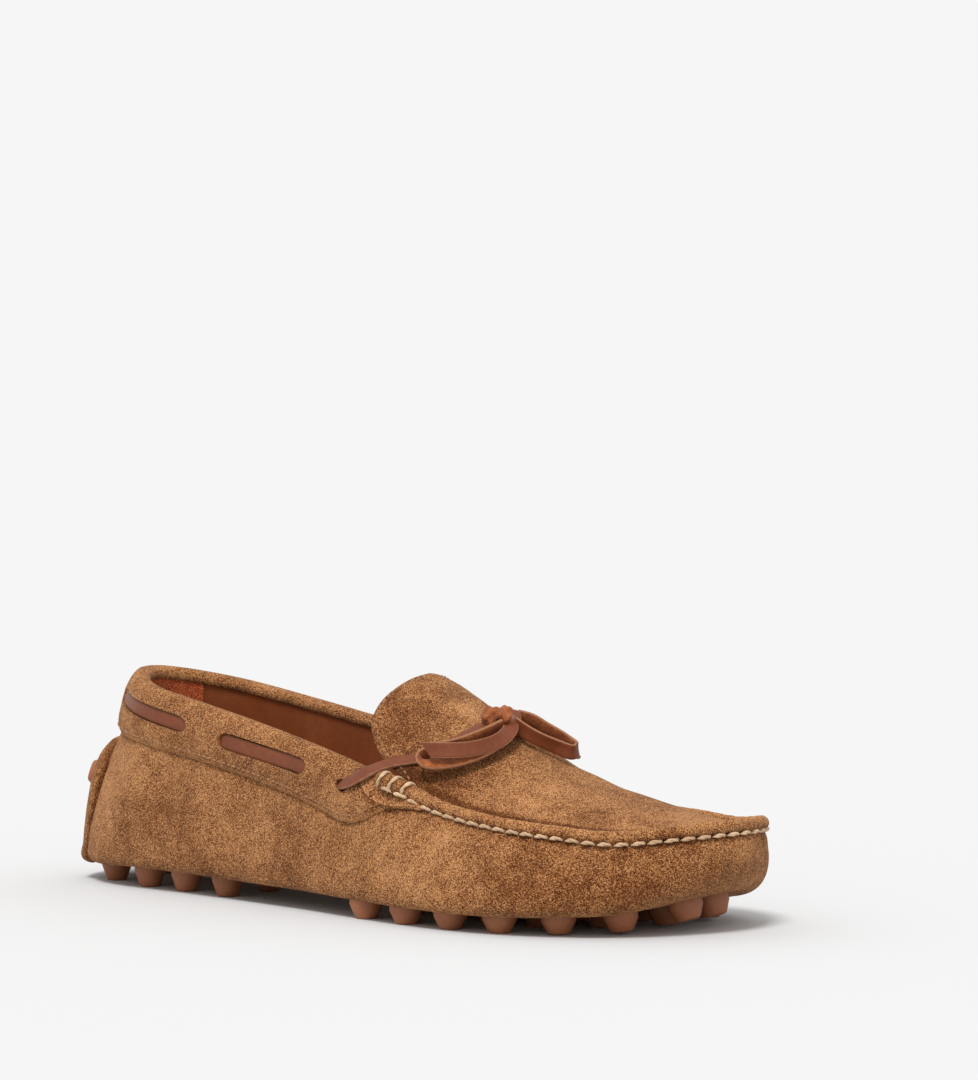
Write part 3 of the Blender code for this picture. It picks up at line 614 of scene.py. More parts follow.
rubber = blended_finish(
    "stud_rubber", 0.55, [(0.9, 60.0, 3.0), (0.5, 700.0, 2.0)],
    [(0.1, (0.195, 0.062, 0.021)), (0.5, (0.262, 0.087, 0.031)), (0.9, (0.33, 0.122, 0.048))],
    bump=((900.0, 3.0), 0.25, 0.0003), gloss=(0.45, 0.3, 180.0, 2.0))
stud = one_stud("stud", STUD_ROOT, STUD_STRAIGHT, STUD_PATTERN_LONG, STUD_RADIUS, STUD_END_RADIUS)
stud_sole = set_studs("stud_sole_rubber", stud, STUD_STRAIGHT, STUD_PATTERN_LONG, list(stud_places()))
plate = floor_layer("plate", PLATE_LOW + PLATE_THICK, PLATE_INSET, PLATE_THICK, skip=5)
join(stud_sole, plate)
shade(stud_sole, 35)
stud_sole.data.materials.append(rubber)
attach(stud_sole, "root")
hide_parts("stud_sole")

# Insole: a smooth leather sock on a thin board, laid over the stud sheet from heel to toe.
# Its grain is the same tan lining leather as the quarters.
INSOLE_TOP = 6.9
INSOLE_THICK = 2.4
INSOLE_INSET = 0.7
INSOLE_SOFT_EDGE = 0.6


def leather_finish(name, dark, mid, light, rough):
    """Smooth lining leather with fine pores and soft rub marks."""
    finish, shader, place = new_finish(name, rough)
    pore_sockets = {"Vector": place, "Scale": 1100.0}
    pores = place.node("ShaderNodeTexVoronoi", {"feature": "DISTANCE_TO_EDGE"}, pore_sockets)
    tone = 0.5 + 0.9 * (place.noise(38.0, 3.0) - 0.5) + 0.4 * (place.noise(420.0, 3.0) - 0.5)
    colour = tone.ramp((0.15, dark), (0.5, mid), (0.85, light))
    feed(shader, Base_Color=colour, Roughness=rough - 0.1 + 0.25 * place.noise(90.0, 3.0),
         Normal=relief(pores + 0.4 * place.noise(300.0, 3.0), 0.25, 0.0003))
    return finish


def soften(piece, wide, degrees, segments=2):
    """Rounds the sharp edges."""
    finish_with(piece, "BEVEL", width=wide * MM, segments=segments, limit_method="ANGLE",
                angle_limit=math.radians(degrees))


# Painted shade: the lining's colour is darker than the tan leather's own, to stand for the shade inside the
# shoe.
lining_leather = leather_finish("lining_leather", (0.165, 0.038, 0.008), (0.215, 0.053, 0.0125),
                                (0.27, 0.074, 0.019), 0.5)
insole = floor_layer("insole_sock", INSOLE_TOP, INSOLE_INSET, INSOLE_THICK, skip=3)
soften(insole, INSOLE_SOFT_EDGE, 50)
shade(insole, 50)
insole.data.materials.append(lining_leather)
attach(insole, "root")
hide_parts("insole")

# Quarter lining: one thin smooth leather sheet round the inside of the collar, tucked under the band's inner
# hem and lasted down to the insole. A softer rust suede piece is laid over it at the heel, against slipping.
LINING_FRONT_X = 170.0
LINING_DEPTH = 2.8
LINING_THICK = 0.6
HEEL_LINING_FRONT_X = 35.0
HEEL_LINING_DEPTH = 3.3
HEEL_LINING_THICK = 0.4
LINING_TUCK = 1.5
LINING_FOOT = 0.97
LINING_ROWS = 30
BAND = np.array([
    (23, 21.5, 1.6), (45, 19.0, 1.5), (75, 17.4, 1.4), (105, 16.6, 1.3), (135, 16.5, 1.2),
    (150, 17.0, 1.2), (160, 17.2, 1.2), (167, 14.6, 1.2), (172.5, 9.4, 1.2), (176, 5.8, 1.2),
])


def band_reach(x):
    """How far the collar band reaches down the wall and down the inside."""
    return [float(smooth(BAND[:, 0], BAND[:, k], np.array(min(x, BAND[-1, 0])))) for k in (1, 2)]


def lining_sheet(name, front_x, depth, thick, count):
    """Sheet inside the shell, from one side round the heel to the other."""
    end = float(angle_at(TOP_ENDS, front_x))
    angles = np.linspace(end, -end, count)
    drops = []
    for angle in angles:
        tucked = band_reach(float(outline("top", angle)[0]))[1] - LINING_TUCK
        drops.append(tucked + (wall_long(angle) - tucked) * np.linspace(0.0, LINING_FOOT, LINING_ROWS))
    grid = lay_on_wall(angles, drops, np.full((count, LINING_ROWS), -depth)).transpose(1, 0, 2)
    piece = sheet(name, grid)
    finish_with(piece, "SOLIDIFY", thickness=thick * MM, offset=-1.0)
    shade(piece, 50)
    return piece


quarter_lining = lining_sheet("quarter_lining", LINING_FRONT_X, LINING_DEPTH, LINING_THICK, 141)
quarter_lining.data.materials.append(lining_leather)
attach(quarter_lining, "root")

heel_lining = lining_sheet("heel_lining", HEEL_LINING_FRONT_X, HEEL_LINING_DEPTH, HEEL_LINING_THICK, 61)
rust_suede = suede_finish("rust_lining_suede", (0.20, 0.030, 0.008), (0.50, 0.097, 0.029),
                          (0.76, 0.220, 0.090))
heel_lining.data.materials.append(rust_suede)
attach(heel_lining, "root")

# Apron and tongue: one suede piece over the toes and the instep, sewn into the raised seam at its edges and
# free above the throat, where it ends in a rounded tongue with a row of fine stitches along its edge.
RIDGE = np.array([(188, 62.0), (197, 57.2), (205, 53.2), (216, 48.1), (227, 43.7), (237, 40.6),
                  (248, 37.9), (258, 35.6), (266, 34.2), (272, 33.2)])
RUNG_LEAD = np.array([(178, 10.0), (192, 6.5), (204, 4.0), (216, 2.0), (236, 0.5), (270, 0.0)])
TONGUE = [
    (173.0, 32.2, 46.3, 184.5, 64.2), (165.2, 30.6, 50.4, 178.5, 67.2), (159.0, 28.5, 56.0, 172.0, 70.6),
    (154.5, 25.0, 62.8, 166.0, 73.8), (154.0, 18.5, 69.8, 161.5, 76.0), (156.5, 9.5, 75.4, 158.8, 77.2),
    (158.0, 0.0, 77.6, 158.0, 77.6),
]
APRON_THICK = 1.8
APRON_RAISE = 0.9
APRON_LEAST_INSET = 3.0
APRON_ROUNDNESS = 2.2
APRON_BACK_X = 181.0
APRON_SOFT_EDGE = 0.5
SEAM_CLEAR = 0.3
SEAM_ROLL = np.array([
    (0, 0.6, 4.3, 2.9, 2.1), (6, 0.8, 4.0, 2.9, 2.1), (11, 2.0, 2.4, 2.5, 2.0), (15, 2.3, 0.9, 2.2, 2.0),
    (26, 2.05, 0.6, 1.95, 1.9), (400, 2.05, 0.6, 1.95, 1.9),
])
APRON_CREASE = np.array([
    (176, 4.3), (190, 3.9), (205, 3.6), (220, 3.9), (235, 4.8), (250, 5.4), (262, 7.1), (275, 8.2),
])
PLY_OFFSET = 0.15
PLY_RADIUS = 0.37
EDGE_STITCH_PITCH = 2.6
EDGE_STITCH_LONG = 1.9
EDGE_STITCH_THICK = 0.62
EDGE_STITCH_INSET = 2.0
EDGE_STITCH_RISE = 0.1
EDGE_STITCH_DIP = 0.35
TONGUE_FIRST_ROW = 132
APRON_FOLDS = [
    ((173, -4, 70), (169, 5, 73), 3.2, 1.3), ((183, -16, 61), (180, 12, 65), 4.0, 0.35),
    ((206, -24, 46), (211, 22, 47), 5.0, 0.45), ((222, -20, 43), (226, 22, 43), 5.0, 0.35),
    ((240, -14, 39), (243, 20, 39), 5.0, 0.25), ((164, -24, 60), (172, -22, 57), 4.0, 0.5),
]
# Patches on the apron: partly the suede's own tone, partly painted shade under the bow and in the gap by the
# throat tab, and a painted highlight on the fold at the tongue's top.
APRON_NAP_LIGHT_AND_SHADE = [
    ((180, -6, 66), 10, 0.9), ((171, -1, 71), 5, -1.2), ((163, -17, 65), 13, -1.2),
    ((217, -4, 48), 12, 0.1), ((230, 0, 44), 12, 0.5), ((245, 6, 39), 12, -0.5), ((261, 5, 36), 11, 0.8),
    ((205, 12, 50), 12, 0.5), ((176, 14, 62), 10, -0.5), ((222, -22, 40), 9, 0.4),
    ((166, -27, 56), 7, -0.9), ((175, -14, 65), 7, -0.4), ((183, 0, 65), 6, 0.8), ((178, -5, 67), 5, 0.8),
    ((217, -18, 44), 10, 0.4), ((226, -13, 42), 10, 0.4), ((199, -25, 46), 9, -0.9),
    ((188, -29, 44), 8, -1.0), ((175, -31, 47), 6, -2.6), ((239, -6, 40), 6, 0.6),
    ((242, -16, 37), 6, -0.5),
]


def seam_roll(angle):
    """Directions up and out of the wall's top, and the roll's centre and half sizes along them."""
    from_end = float(np.interp(abs(angle), seam_half, seam_half_run))
    sizes = [float(np.interp(from_end, SEAM_ROLL[:, 0], SEAM_ROLL[:, k])) for k in (1, 2, 3, 4)]
    return *wall_directions(angle, 1.0), *sizes


def apron_edge(angle):
    """Point where the apron meets the inner side of the seam's roll."""
    up, out, centre_up, centre_out, half_up, half_out = seam_roll(angle)
    up_plan, out_plan = math.hypot(up[0], up[1]), math.hypot(out[0], out[1])
    reach = math.hypot(half_out * out_plan, half_up * up_plan)
    inset = up_plan * centre_up - out_plan * centre_out + reach + SEAM_CLEAR
    inward = -unit(np.array([out[0], out[1], 0.0]))
    return wall(angle, 1.0) + inward * max(inset, APRON_LEAST_INSET) + np.array([0.0, 0.0, APRON_RAISE])


def refine(rows, count):
    """More rows on smooth curves through a few."""
    steps = np.arange(len(rows), dtype=float)
    fine = np.linspace(0.0, len(rows) - 1.0, count)
    return np.stack([np.stack([smooth(steps, rows[:, j, k], fine) for k in range(3)], axis=-1)
                     for j in range(rows.shape[1])], axis=1)


def pick(at, run, values):
    """Vectors at distances along a row of them."""
    return np.stack([np.interp(at, run, values[:, k]) for k in range(3)], axis=-1)


def threads(name, paths, faces, thick, plies=2, twist=1.4, sides=6):
    """Short twisted threads in one mesh, each along its row of points, with the way out of the leather."""
    corners, quads = [], []
    for path, out in zip(paths, faces):
        along = unit(np.gradient(path, axis=0))
        side = unit(np.cross(along, out))
        out = np.cross(side, along)
        share = np.linspace(0.0, 1.0, len(path))
        swell = 0.45 + 0.55 * np.sin(np.pi * share)**0.6
        for ply in range(plies):
            turn = 2 * math.pi * (twist * share + ply / plies)
            offset = thick * PLY_OFFSET if plies > 1 else 0.0
            radius = (thick * PLY_RADIUS if plies > 1 else thick / 2) * swell
            middle = path + offset * (np.cos(turn)[:, None] * out + np.sin(turn)[:, None] * side)
            first = len(corners)
            for k in range(len(path)):
                for j in range(sides):
                    t = 2 * math.pi * j / sides
                    corners.append(middle[k] + radius[k] * (math.cos(t) * side[k] + math.sin(t) * out[k]))
            for k in range(len(path) - 1):
                for j in range(sides):
                    low, high = first + k * sides, first + (k + 1) * sides
                    following = (j + 1) % sides
                    quads.append((low + j, high + j, high + following, low + following))
            quads.append(tuple(first + j for j in range(sides)))
            final = first + (len(path) - 1) * sides
            quads.append(tuple(final + j for j in reversed(range(sides))))
    mesh = bpy.data.meshes.new(name)
    mesh.from_pydata(((np.array(corners) - TABLE_ORIGIN) * MM).tolist(), [], quads)
    piece = bpy.data.objects.new(name, mesh)
    bpy.context.collection.objects.link(piece)
    weld(piece, close=True)
    shade(piece, 60)
    return piece


def stitch_row(line, faces, pitch, long, rise, dip, points=7, lean=0.0):
    """Stitch paths along a line of points: each lies on the leather and dips into it at both ends."""
    run = run_of(line)
    beside = lean * np.cross(unit(faces), unit(np.gradient(line, axis=0)))
    paths, outs = [], []
    for middle in np.arange(pitch / 2, run[-1] - pitch / 2 + 0.01, pitch):
        at = np.linspace(middle - long / 2, middle + long / 2, points)
        share = np.linspace(-1, 1, points)
        out = unit(pick(at, run, faces))
        bow = rise - (rise + dip) * np.abs(share)**3
        across = pick(at, run, beside) * share[:, None]
        paths.append(pick(at, run, line) + out * bow[:, None] + across)
        outs.append(out)
    return paths, outs


spread = np.linspace(-1.0, 1.0, 73)
dome = 1 - np.abs(spread)**APRON_ROUNDNESS
rungs = []
for angle in np.linspace(math.pi, float(angle_at(TOP_ENDS, APRON_BACK_X)), 17):
    outer, inner = apron_edge(-angle), apron_edge(angle)
    rung = outer + (inner - outer) * (1 + spread[:, None]) / 2
    middle_x = (outer[0] + inner[0]) / 2
    lead = smooth(RUNG_LEAD[:, 0], RUNG_LEAD[:, 1], middle_x)
    crown = max(smooth(RIDGE[:, 0], RIDGE[:, 1], middle_x + lead) - (outer[2] + inner[2]) / 2, 0.0)
    rung[:, 0] += lead * dome
    rung[:, 2] += crown * dome
    rungs.append(rung)
for edge_x, half, edge_z, middle_x, middle_z in TONGUE:
    rung_x = edge_x + (middle_x - edge_x) * dome
    rung_z = edge_z + (middle_z - edge_z) * dome
    rungs.append(np.stack([rung_x, half * spread, rung_z], axis=-1))
apron = refine(np.array(rungs), 185)
apron = crease(apron, facing_of(apron), APRON_FOLDS)
apron_facing = facing_of(apron)
centre_column = len(spread) // 2
tip_away = np.linalg.norm(apron[:, centre_column] - apron[-1, centre_column], axis=1)
top_row = int(np.argmin(np.abs(tip_away - EDGE_STITCH_INSET)))


def along_edge(row, from_edge, back):
    """Point and facing at a distance from the edge of a rung."""
    order = slice(None, None, -1) if back else slice(None)
    run = run_of(apron[row, order])
    return [pick(from_edge, run, field[row, order]) for field in (apron, apron_facing)]


tongue_rows = range(TONGUE_FIRST_ROW, top_row)
over_top = np.arange(2 * EDGE_STITCH_INSET, run_of(apron[top_row])[-1] - 2 * EDGE_STITCH_INSET, 0.8)
tongue_edge = [along_edge(row, EDGE_STITCH_INSET, False) for row in tongue_rows]
tongue_edge += [along_edge(top_row, far, False) for far in over_top]
tongue_edge += [along_edge(row, EDGE_STITCH_INSET, True) for row in reversed(tongue_rows)]
tongue_line, tongue_outs = [np.array([pair[k] for pair in tongue_edge]) for k in (0, 1)]
apron_tongue = sheet("suede_apron_and_tongue", apron)
weld(apron_tongue)
finish_with(apron_tongue, "SOLIDIFY", thickness=APRON_THICK * MM, offset=-1.0, material_offset=1)
soften(apron_tongue, APRON_SOFT_EDGE, 55)
shade(apron_tongue, 50)
# Painted shade: a dark line on the apron along the crease beside the seam's roll.
crease_shade_line = []
for back, column in ((False, 0), (True, -1)):
    for row in range(4, 126):
        crease_inset = float(smooth(APRON_CREASE[:, 0], APRON_CREASE[:, 1], apron[row, column, 0]))
        crease_shade_line.append(along_edge(row, crease_inset, back)[0])
paint_nap_light_and_shade(apron_tongue, APRON_NAP_LIGHT_AND_SHADE, [(np.array(crease_shade_line), 1.1, -3.4)])
apron_tongue.data.materials.append(suede)
apron_tongue.data.materials.append(lining_leather)
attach(apron_tongue, "root")
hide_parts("apron_tongue")

tan_thread = blended_finish(
    "tan_thread", 0.75, [(1.0, 900.0, 2.0)], [(0.25, (0.20, 0.085, 0.034)), (0.75, (0.42, 0.215, 0.105))],
    bump=((2500.0, 2.0), 0.3, 0.0002))


def edge_stitches(name, line, faces):
    """Row of fine stitches along an edge."""
    paths, outs = stitch_row(
        line, faces, EDGE_STITCH_PITCH, EDGE_STITCH_LONG, EDGE_STITCH_RISE, EDGE_STITCH_DIP)
    return threads(name, paths, outs, EDGE_STITCH_THICK, plies=1, sides=5)


tongue_stitches = edge_stitches("tongue_edge_stitches", tongue_line, tongue_outs)
tongue_stitches.data.materials.append(tan_thread)
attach(tongue_stitches, "root")

# Raised apron seam: the edges of the shell and of the apron are gathered into a roll and sewn by hand with a
# thick cream thread in the groove at its foot. The roll's two ends widen and are tacked down at the throat.
ROLL_SIDES = 20
ROLL_STATIONS = 300
SCALLOP = 0.09
ROLL_NAP = [((230, -38, 34), 30, 0.6), ((262, -20, 33), 20, 0.4), ((274, 8, 33), 14, 0.7),
            ((190, -38, 40), 20, 0.4), ((230, 42, 34), 30, 0.5), ((262, 30, 33), 20, 0.5)]
HAND_STITCH_LONG = 4.3
HAND_STITCH_THICK = 1.4
HAND_STITCH_LEAN = 0.12
HAND_STITCH_RISE = 0.25
HAND_STITCH_DIP = 1.0
GROOVE = np.array([(0, -1.6, 5.2), (7, -1.6, 4.8), (12, -0.8, 2.8), (16, -0.5, 1.1), (400, -0.5, 0.95)])
GROOVE_START = 2.5
WHIP_PLACES = (3.2, 7.7, 12.2)
WHIP_THICK = 1.4
WHIP_SLANT = -5.0
WHIP_PINCH = 0.2
WHIP_PINCH_WIDE = 0.9


def whip_place(middle, t):
    """How far from the roll's end a throat stitch is where it has gone round the roll by t."""
    round_roll = t if t < 1.4 * math.pi else t - 2 * math.pi
    return middle + WHIP_SLANT * (0.14 - round_roll / (2 * math.pi))


half_stations = np.linspace(seam_from, math.pi, ROLL_STATIONS)
stations = np.concatenate([-half_stations, half_stations[-2::-1]])
turns = np.linspace(0, 2 * math.pi, ROLL_SIDES + 1)
roll_rows = []
groove, groove_out = [], []
for angle in stations:
    up, out, centre_up, centre_out, half_up, half_out = seam_roll(angle)
    from_end = float(np.interp(abs(angle), seam_half, seam_half_run))
    pinch = SCALLOP * math.cos(2 * math.pi * from_end / STITCH_PITCH) * min(1.0, from_end / 12)
    soft_end = min(1.0, 0.55 + from_end / 4)
    top = wall(angle, 1.0)
    centre = top + up * centre_up + out * centre_out
    ring = []
    for t in turns:
        from_whips = [(from_end - whip_place(middle, t)) / WHIP_PINCH_WIDE for middle in WHIP_PLACES]
        drawn = WHIP_PINCH * sum(math.exp(-away**2) for away in from_whips)
        full = soft_end * (1.06 - drawn + pinch * (0.4 - math.sin(t)))
        ring.append(centre + full * (out * half_out * math.cos(t) + up * half_up * math.sin(t)))
    roll_rows.append(ring)
    groove_up, groove_off = [float(np.interp(from_end, GROOVE[:, 0], GROOVE[:, k])) for k in (1, 2)]
    if from_end > GROOVE_START:
        groove.append(top + up * groove_up + out * groove_off)
        groove_out.append(unit(out - 0.2 * up))
apron_seam = sheet("suede_seam_roll", np.array(roll_rows))
weld(apron_seam, close=True)
shade(apron_seam, 60)
whip_paths, whip_outs = [], []
for side in (-1, 1):
    for middle in WHIP_PLACES:
        points, outs = [], []
        for t in np.linspace(-0.48 * math.pi, 0.92 * math.pi, 13):
            angle = side * float(np.interp(whip_place(middle, t), seam_half_run, seam_half))
            up, out, centre_up, centre_out, half_up, half_out = seam_roll(angle)
            reach = out * half_out * math.cos(t) + up * half_up * math.sin(t)
            points.append(wall(angle, 1.0) + up * centre_up + out * centre_out + reach)
            outs.append(unit(reach))
        whip_paths.append(np.array(points))
        whip_outs.append(np.array(outs))
roll_grid = np.array(roll_rows)
# Painted light and shade on the roll: darker along its inner side, its underside and where the throat
# stitches pinch it, lighter along its top.
roll_light_and_shade_lines = [(roll_grid[30:-30, 11], 0.9, -2.0), (roll_grid[30:-30, 16], 0.9, -1.5),
              (roll_grid[40:-40, 4], 1.0, 0.9), (np.concatenate(whip_paths), 1.2, -3.0)]
paint_nap_light_and_shade(apron_seam, ROLL_NAP, roll_light_and_shade_lines)
apron_seam.data.materials.append(suede)
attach(apron_seam, "root")
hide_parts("apron_seam")

cream_thread = blended_finish(
    "cream_thread", 0.7, [(0.8, 160.0, 2.0), (0.7, 1400.0, 3.0)],
    [(0.15, (0.28, 0.155, 0.080)), (0.5, (0.49, 0.320, 0.185)), (0.9, (0.66, 0.480, 0.310))],
    bump=((2200.0, 3.0), 0.4, 0.0003))
groove_long = run_of(np.array(groove))[-1]
fitted_pitch = groove_long / round(groove_long / STITCH_PITCH)
hand_paths, hand_outs = stitch_row(np.array(groove), np.array(groove_out), fitted_pitch, HAND_STITCH_LONG,
                                   HAND_STITCH_RISE, HAND_STITCH_DIP, 11, HAND_STITCH_LEAN)
hand_stitches = threads("cream_hand_stitches", hand_paths, hand_outs, HAND_STITCH_THICK, twist=0.8, sides=8)
hand_stitches.data.materials.append(cream_thread)
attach(hand_stitches, "root")

THROAT_FLAP = np.array([
    (163.8, -0.4, 2.2, 4.0), (164.6, -1.4, 3.6, 4.1), (166.6, -2.0, 5.0, 4.0), (170.2, -2.0, 6.2, 3.7),
    (174, -2.0, 6.2, 3.1), (177, -1.6, 5.4, 2.3), (180, -1.0, 3.9, 1.7), (184, -0.5, 1.9, 1.4),
    (188, -0.2, 0.6, 1.2),
])
FLAP_THICK = 1.3
FLAP_SOFT_EDGE = 0.4
FLAP_STEPS = 46
TAB_ROWS = 34

flap_edges = []
for side, name in ((-1, "outer"), (1, "inner")):
    flap_x = np.linspace(THROAT_FLAP[0, 0], THROAT_FLAP[-1, 0], FLAP_STEPS)
    flap_columns = THROAT_FLAP.T[1:]
    flap_top, flap_low, flap_lift = [smooth(THROAT_FLAP[:, 0], column, flap_x) for column in flap_columns]
    ragged = 0.12 * np.sin(2.3 * flap_x) + 0.08 * np.sin(5.1 * flap_x + 1.0)
    shares = np.linspace(0.0, 1.0, 15)
    flap_drops = flap_top[:, None] + (flap_low + ragged - flap_top)[:, None] * shares
    flap_lifts = flap_lift[:, None] - 0.35 * shares**2 + 0.6 * shares**6
    flap_angles = [side * float(angle_at(TOP_ENDS, x)) for x in flap_x]
    flap = lay_on_wall(flap_angles, flap_drops, flap_lifts).transpose(1, 0, 2)
    throat_flap = sheet(f"suede_throat_flap_{name}", flap if side > 0 else flap[:, ::-1])
    finish_with(throat_flap, "SOLIDIFY", thickness=FLAP_THICK * MM, offset=-1.0)
    soften(throat_flap, FLAP_SOFT_EDGE, 55)
    shade(throat_flap, 50)
    flap_edge = np.concatenate([flap[:, 0], flap[-1]])
    flap_edges.append(flap_edge)
    # Painted shade: a dark line on the flap under the foot of the roll's tab.
    tab_foot_shade = roll_grid[:TAB_ROWS, 17] if side < 0 else roll_grid[-TAB_ROWS:, 17]
    paint_nap_light_and_shade(throat_flap, [], [(flap_edge, 0.9, 1.6), (tab_foot_shade, 1.4, -2.6)])
    throat_flap.data.materials.append(suede)
    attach(throat_flap, "root")

whip_stitches = threads("cream_throat_stitches", whip_paths, whip_outs, WHIP_THICK, twist=1.8)
whip_stitches.data.materials.append(cream_thread)
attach(whip_stitches, "root")

# Collar band: a folded suede strip round the collar, rolled over its edge and sewn down along its lower edge.
# It makes a tunnel for the lace, with long windows in it and a hole near the front where the lace comes out.
BAND_FRONT_X = 175.6
BAND_STATIONS = 221
BAND_THICK = 1.5
LACE_DROPS = np.array([(23, 7.0), (75, 7.1), (92, 7.4), (115, 6.8), (137, 5.8), (150, 6.4)])
LACE_WIDE = 5.0
TUNNEL_LIFT = 2.1
HEEL_TUNNEL_LIFT = 0.9
WINDOW_WIDE = 5.6
WINDOWS = ((31.0, 75.0), (92.0, 137.0))
LACE_HOLE = (153.0, 159.0)
LACE_HOLE_DROP = 6.5
LACE_HOLE_WIDE = 3.8
CUT_LIFTS = (0.2, 7.5)
SEAM_STEP = (169.2, 182.0)
SEAM_STEP_WIDE = 11.0
SEAM_STEP_DROP = -2.0
SEAM_STEP_LIFTS = (-9.0, 9.0)
HEM_INSET = 2.2
BACK_OF_HEEL = (25.5, 32.0)
BAND_NAP = [
    ((40, -26, 60), 14, 0.1), ((75, -32, 52), 12, -0.5), ((110, -34, 46), 14, -0.3),
    ((145, -37, 40), 12, -0.6), ((160, -40, 36), 8, 0.3), ((35, 14, 66), 14, 0.6),
    ((75, 30, 56), 14, 0.5), ((120, 33, 48), 16, -0.4),
]


def lace_drop(x):
    """How far below the top line the lace runs in the band."""
    inside = np.clip(x, LACE_DROPS[0, 0], LACE_DROPS[-1, 0])
    return smooth(LACE_DROPS[:, 0], LACE_DROPS[:, 1], inside)


def beside_heel(x):
    """From 0 at the back of the heel, where the band lies flat, to 1 at its sides."""
    share = np.clip((x - BACK_OF_HEEL[0]) / (BACK_OF_HEEL[1] - BACK_OF_HEEL[0]), 0, 1)
    return share**2 * (3 - 2 * share)


def band_outside(x):
    """Distance down and lift of the band's outer face, from its lower edge over the roll to its inner hem."""
    down, inner = band_reach(x)
    centre = float(lace_drop(x))
    tunnel = (centre - LACE_WIDE / 2 - 0.6, centre + LACE_WIDE / 2 + 0.6)
    full_lift = HEEL_TUNNEL_LIFT + (TUNNEL_LIFT - HEEL_TUNNEL_LIFT) * beside_heel(x)
    lift = full_lift
    if down <= tunnel[1] + 2.0:
        lift = 0.3 + (TUNNEL_LIFT - 0.3) * max(0.0, (down - 6.0) / 6.0)
    tunnel = [min(drop, down * share) for drop, share in zip(tunnel, (0.45, 0.8))]
    top_lift = lift + BAND_THICK
    points = np.array([
        (down, 0.7), (down - 0.5, 1.2), (tunnel[1], top_lift), (tunnel[0], top_lift), (0.0, 2.6),
        (-1.7, 1.6), (-2.3, -0.8), (-1.7, -3.2), (0.3, -4.0), (inner, -3.6)])
    run = run_of(points)
    over_tunnel = np.linspace(run[2], run[4], 13)[1:]
    over_edge = np.linspace(run[4], run[-1], 17)[1:]
    fine = np.concatenate([np.linspace(0, run[2], 9), over_tunnel, over_edge])
    back = np.array([
        (inner, -2.3), (-0.3, -2.3), (-0.3, 0.3), (1.6, 0.3),
        (tunnel[0], lift), (tunnel[1], lift), (down, 0.3)])
    return np.stack([smooth(run, points[:, 0], fine), smooth(run, points[:, 1], fine)], axis=-1), back


def slot_cutter(x_ends, side, drops, wide, lifts, round_ends=True):
    """Long cutter that follows the wall from one x to another on one side of the shoe."""
    first, final = [side * float(angle_at(TOP_ENDS, x)) for x in x_ends]
    long = abs(x_ends[1] - x_ends[0])
    rounding = wide * (0.75 if round_ends else 0.5)
    near = rounding * (1 - np.cos(np.linspace(0.12, math.pi / 2, 9)))
    between = np.linspace(near[-1], long - near[-1], 15)[1:-1]
    along = np.concatenate([near, between, long - near[::-1]]) / long
    rows = []
    for share in along:
        angle = float(first + (final - first) * share)
        from_end = min(share, 1 - share) * long
        drop = drops[0] + (drops[1] - drops[0]) * share
        near_end = min(from_end / rounding, 1.0) if round_ends else 1.0
        half = wide / 2 * math.sqrt(max(near_end * (2 - near_end), 0.005))
        low, high = drop - half, drop + half
        ring_drops = [low, high, high, low, low]
        ring_lifts = [lifts[0], lifts[0], lifts[1], lifts[1], lifts[0]]
        rows.append(lay_on_wall([angle], [ring_drops], [ring_lifts])[0])
    cutter = sheet("cutter", np.array(rows))
    weld(cutter, close=True)
    return cutter


band_front = float(angle_at(TOP_ENDS, BAND_FRONT_X))
band_angles = np.linspace(-band_front, band_front, BAND_STATIONS)
band_drops, band_lifts, hem, hem_out, hem_edge = [], [], [], [], []
for angle in band_angles:
    outside, back = band_outside(float(outline("top", angle)[0]))
    ring = np.concatenate([outside, back, outside[:1]])
    band_drops.append(ring[:, 0])
    band_lifts.append(ring[:, 1])
    order = np.argsort(outside[:12, 0])
    sewn_drop = outside[0, 0] - HEM_INSET
    sewn_lift = float(np.interp(sewn_drop, outside[:12, 0][order], outside[:12, 1][order]))
    pair = lay_on_wall([angle], [[sewn_drop, sewn_drop]], [[sewn_lift, sewn_lift + 1.0]])[0]
    hem.append(pair[0])
    hem_out.append(pair[1] - pair[0])
    hem_edge.append(lay_on_wall([angle], [outside[1:2, 0]], [outside[1:2, 1]])[0, 0])
collar_band = sheet("suede_collar_band", lay_on_wall(band_angles, band_drops, band_lifts))
weld(collar_band, close=True)
for side in (-1, 1):
    slots = [slot_cutter(ends, side, lace_drop(np.array(ends)), WINDOW_WIDE, CUT_LIFTS) for ends in WINDOWS]
    slots.append(slot_cutter(LACE_HOLE, side, (LACE_HOLE_DROP,) * 2, LACE_HOLE_WIDE, CUT_LIFTS))
    slots.append(slot_cutter(SEAM_STEP, side, (SEAM_STEP_DROP,) * 2, SEAM_STEP_WIDE, SEAM_STEP_LIFTS, False))
    for slot in slots:
        finish_with(collar_band, "BOOLEAN", operation="DIFFERENCE", object=slot, solver="EXACT")
        bpy.data.objects.remove(slot)
shade(collar_band, 45)
# Painted shadow: a dark line on the band along the throat flaps' edges.
paint_nap_light_and_shade(collar_band, BAND_NAP, [(np.concatenate(flap_edges), 1.5, -2.2), (np.array(hem_edge), 1.0, 1.2)])
collar_band.data.materials.clear()
collar_band.data.materials.append(suede)
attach(collar_band, "root")
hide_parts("collar_band")

hem_stitches = edge_stitches("band_hem_stitches", np.array(hem), np.array(hem_out))
hem_stitches.data.materials.append(tan_thread)
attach(hem_stitches, "root")

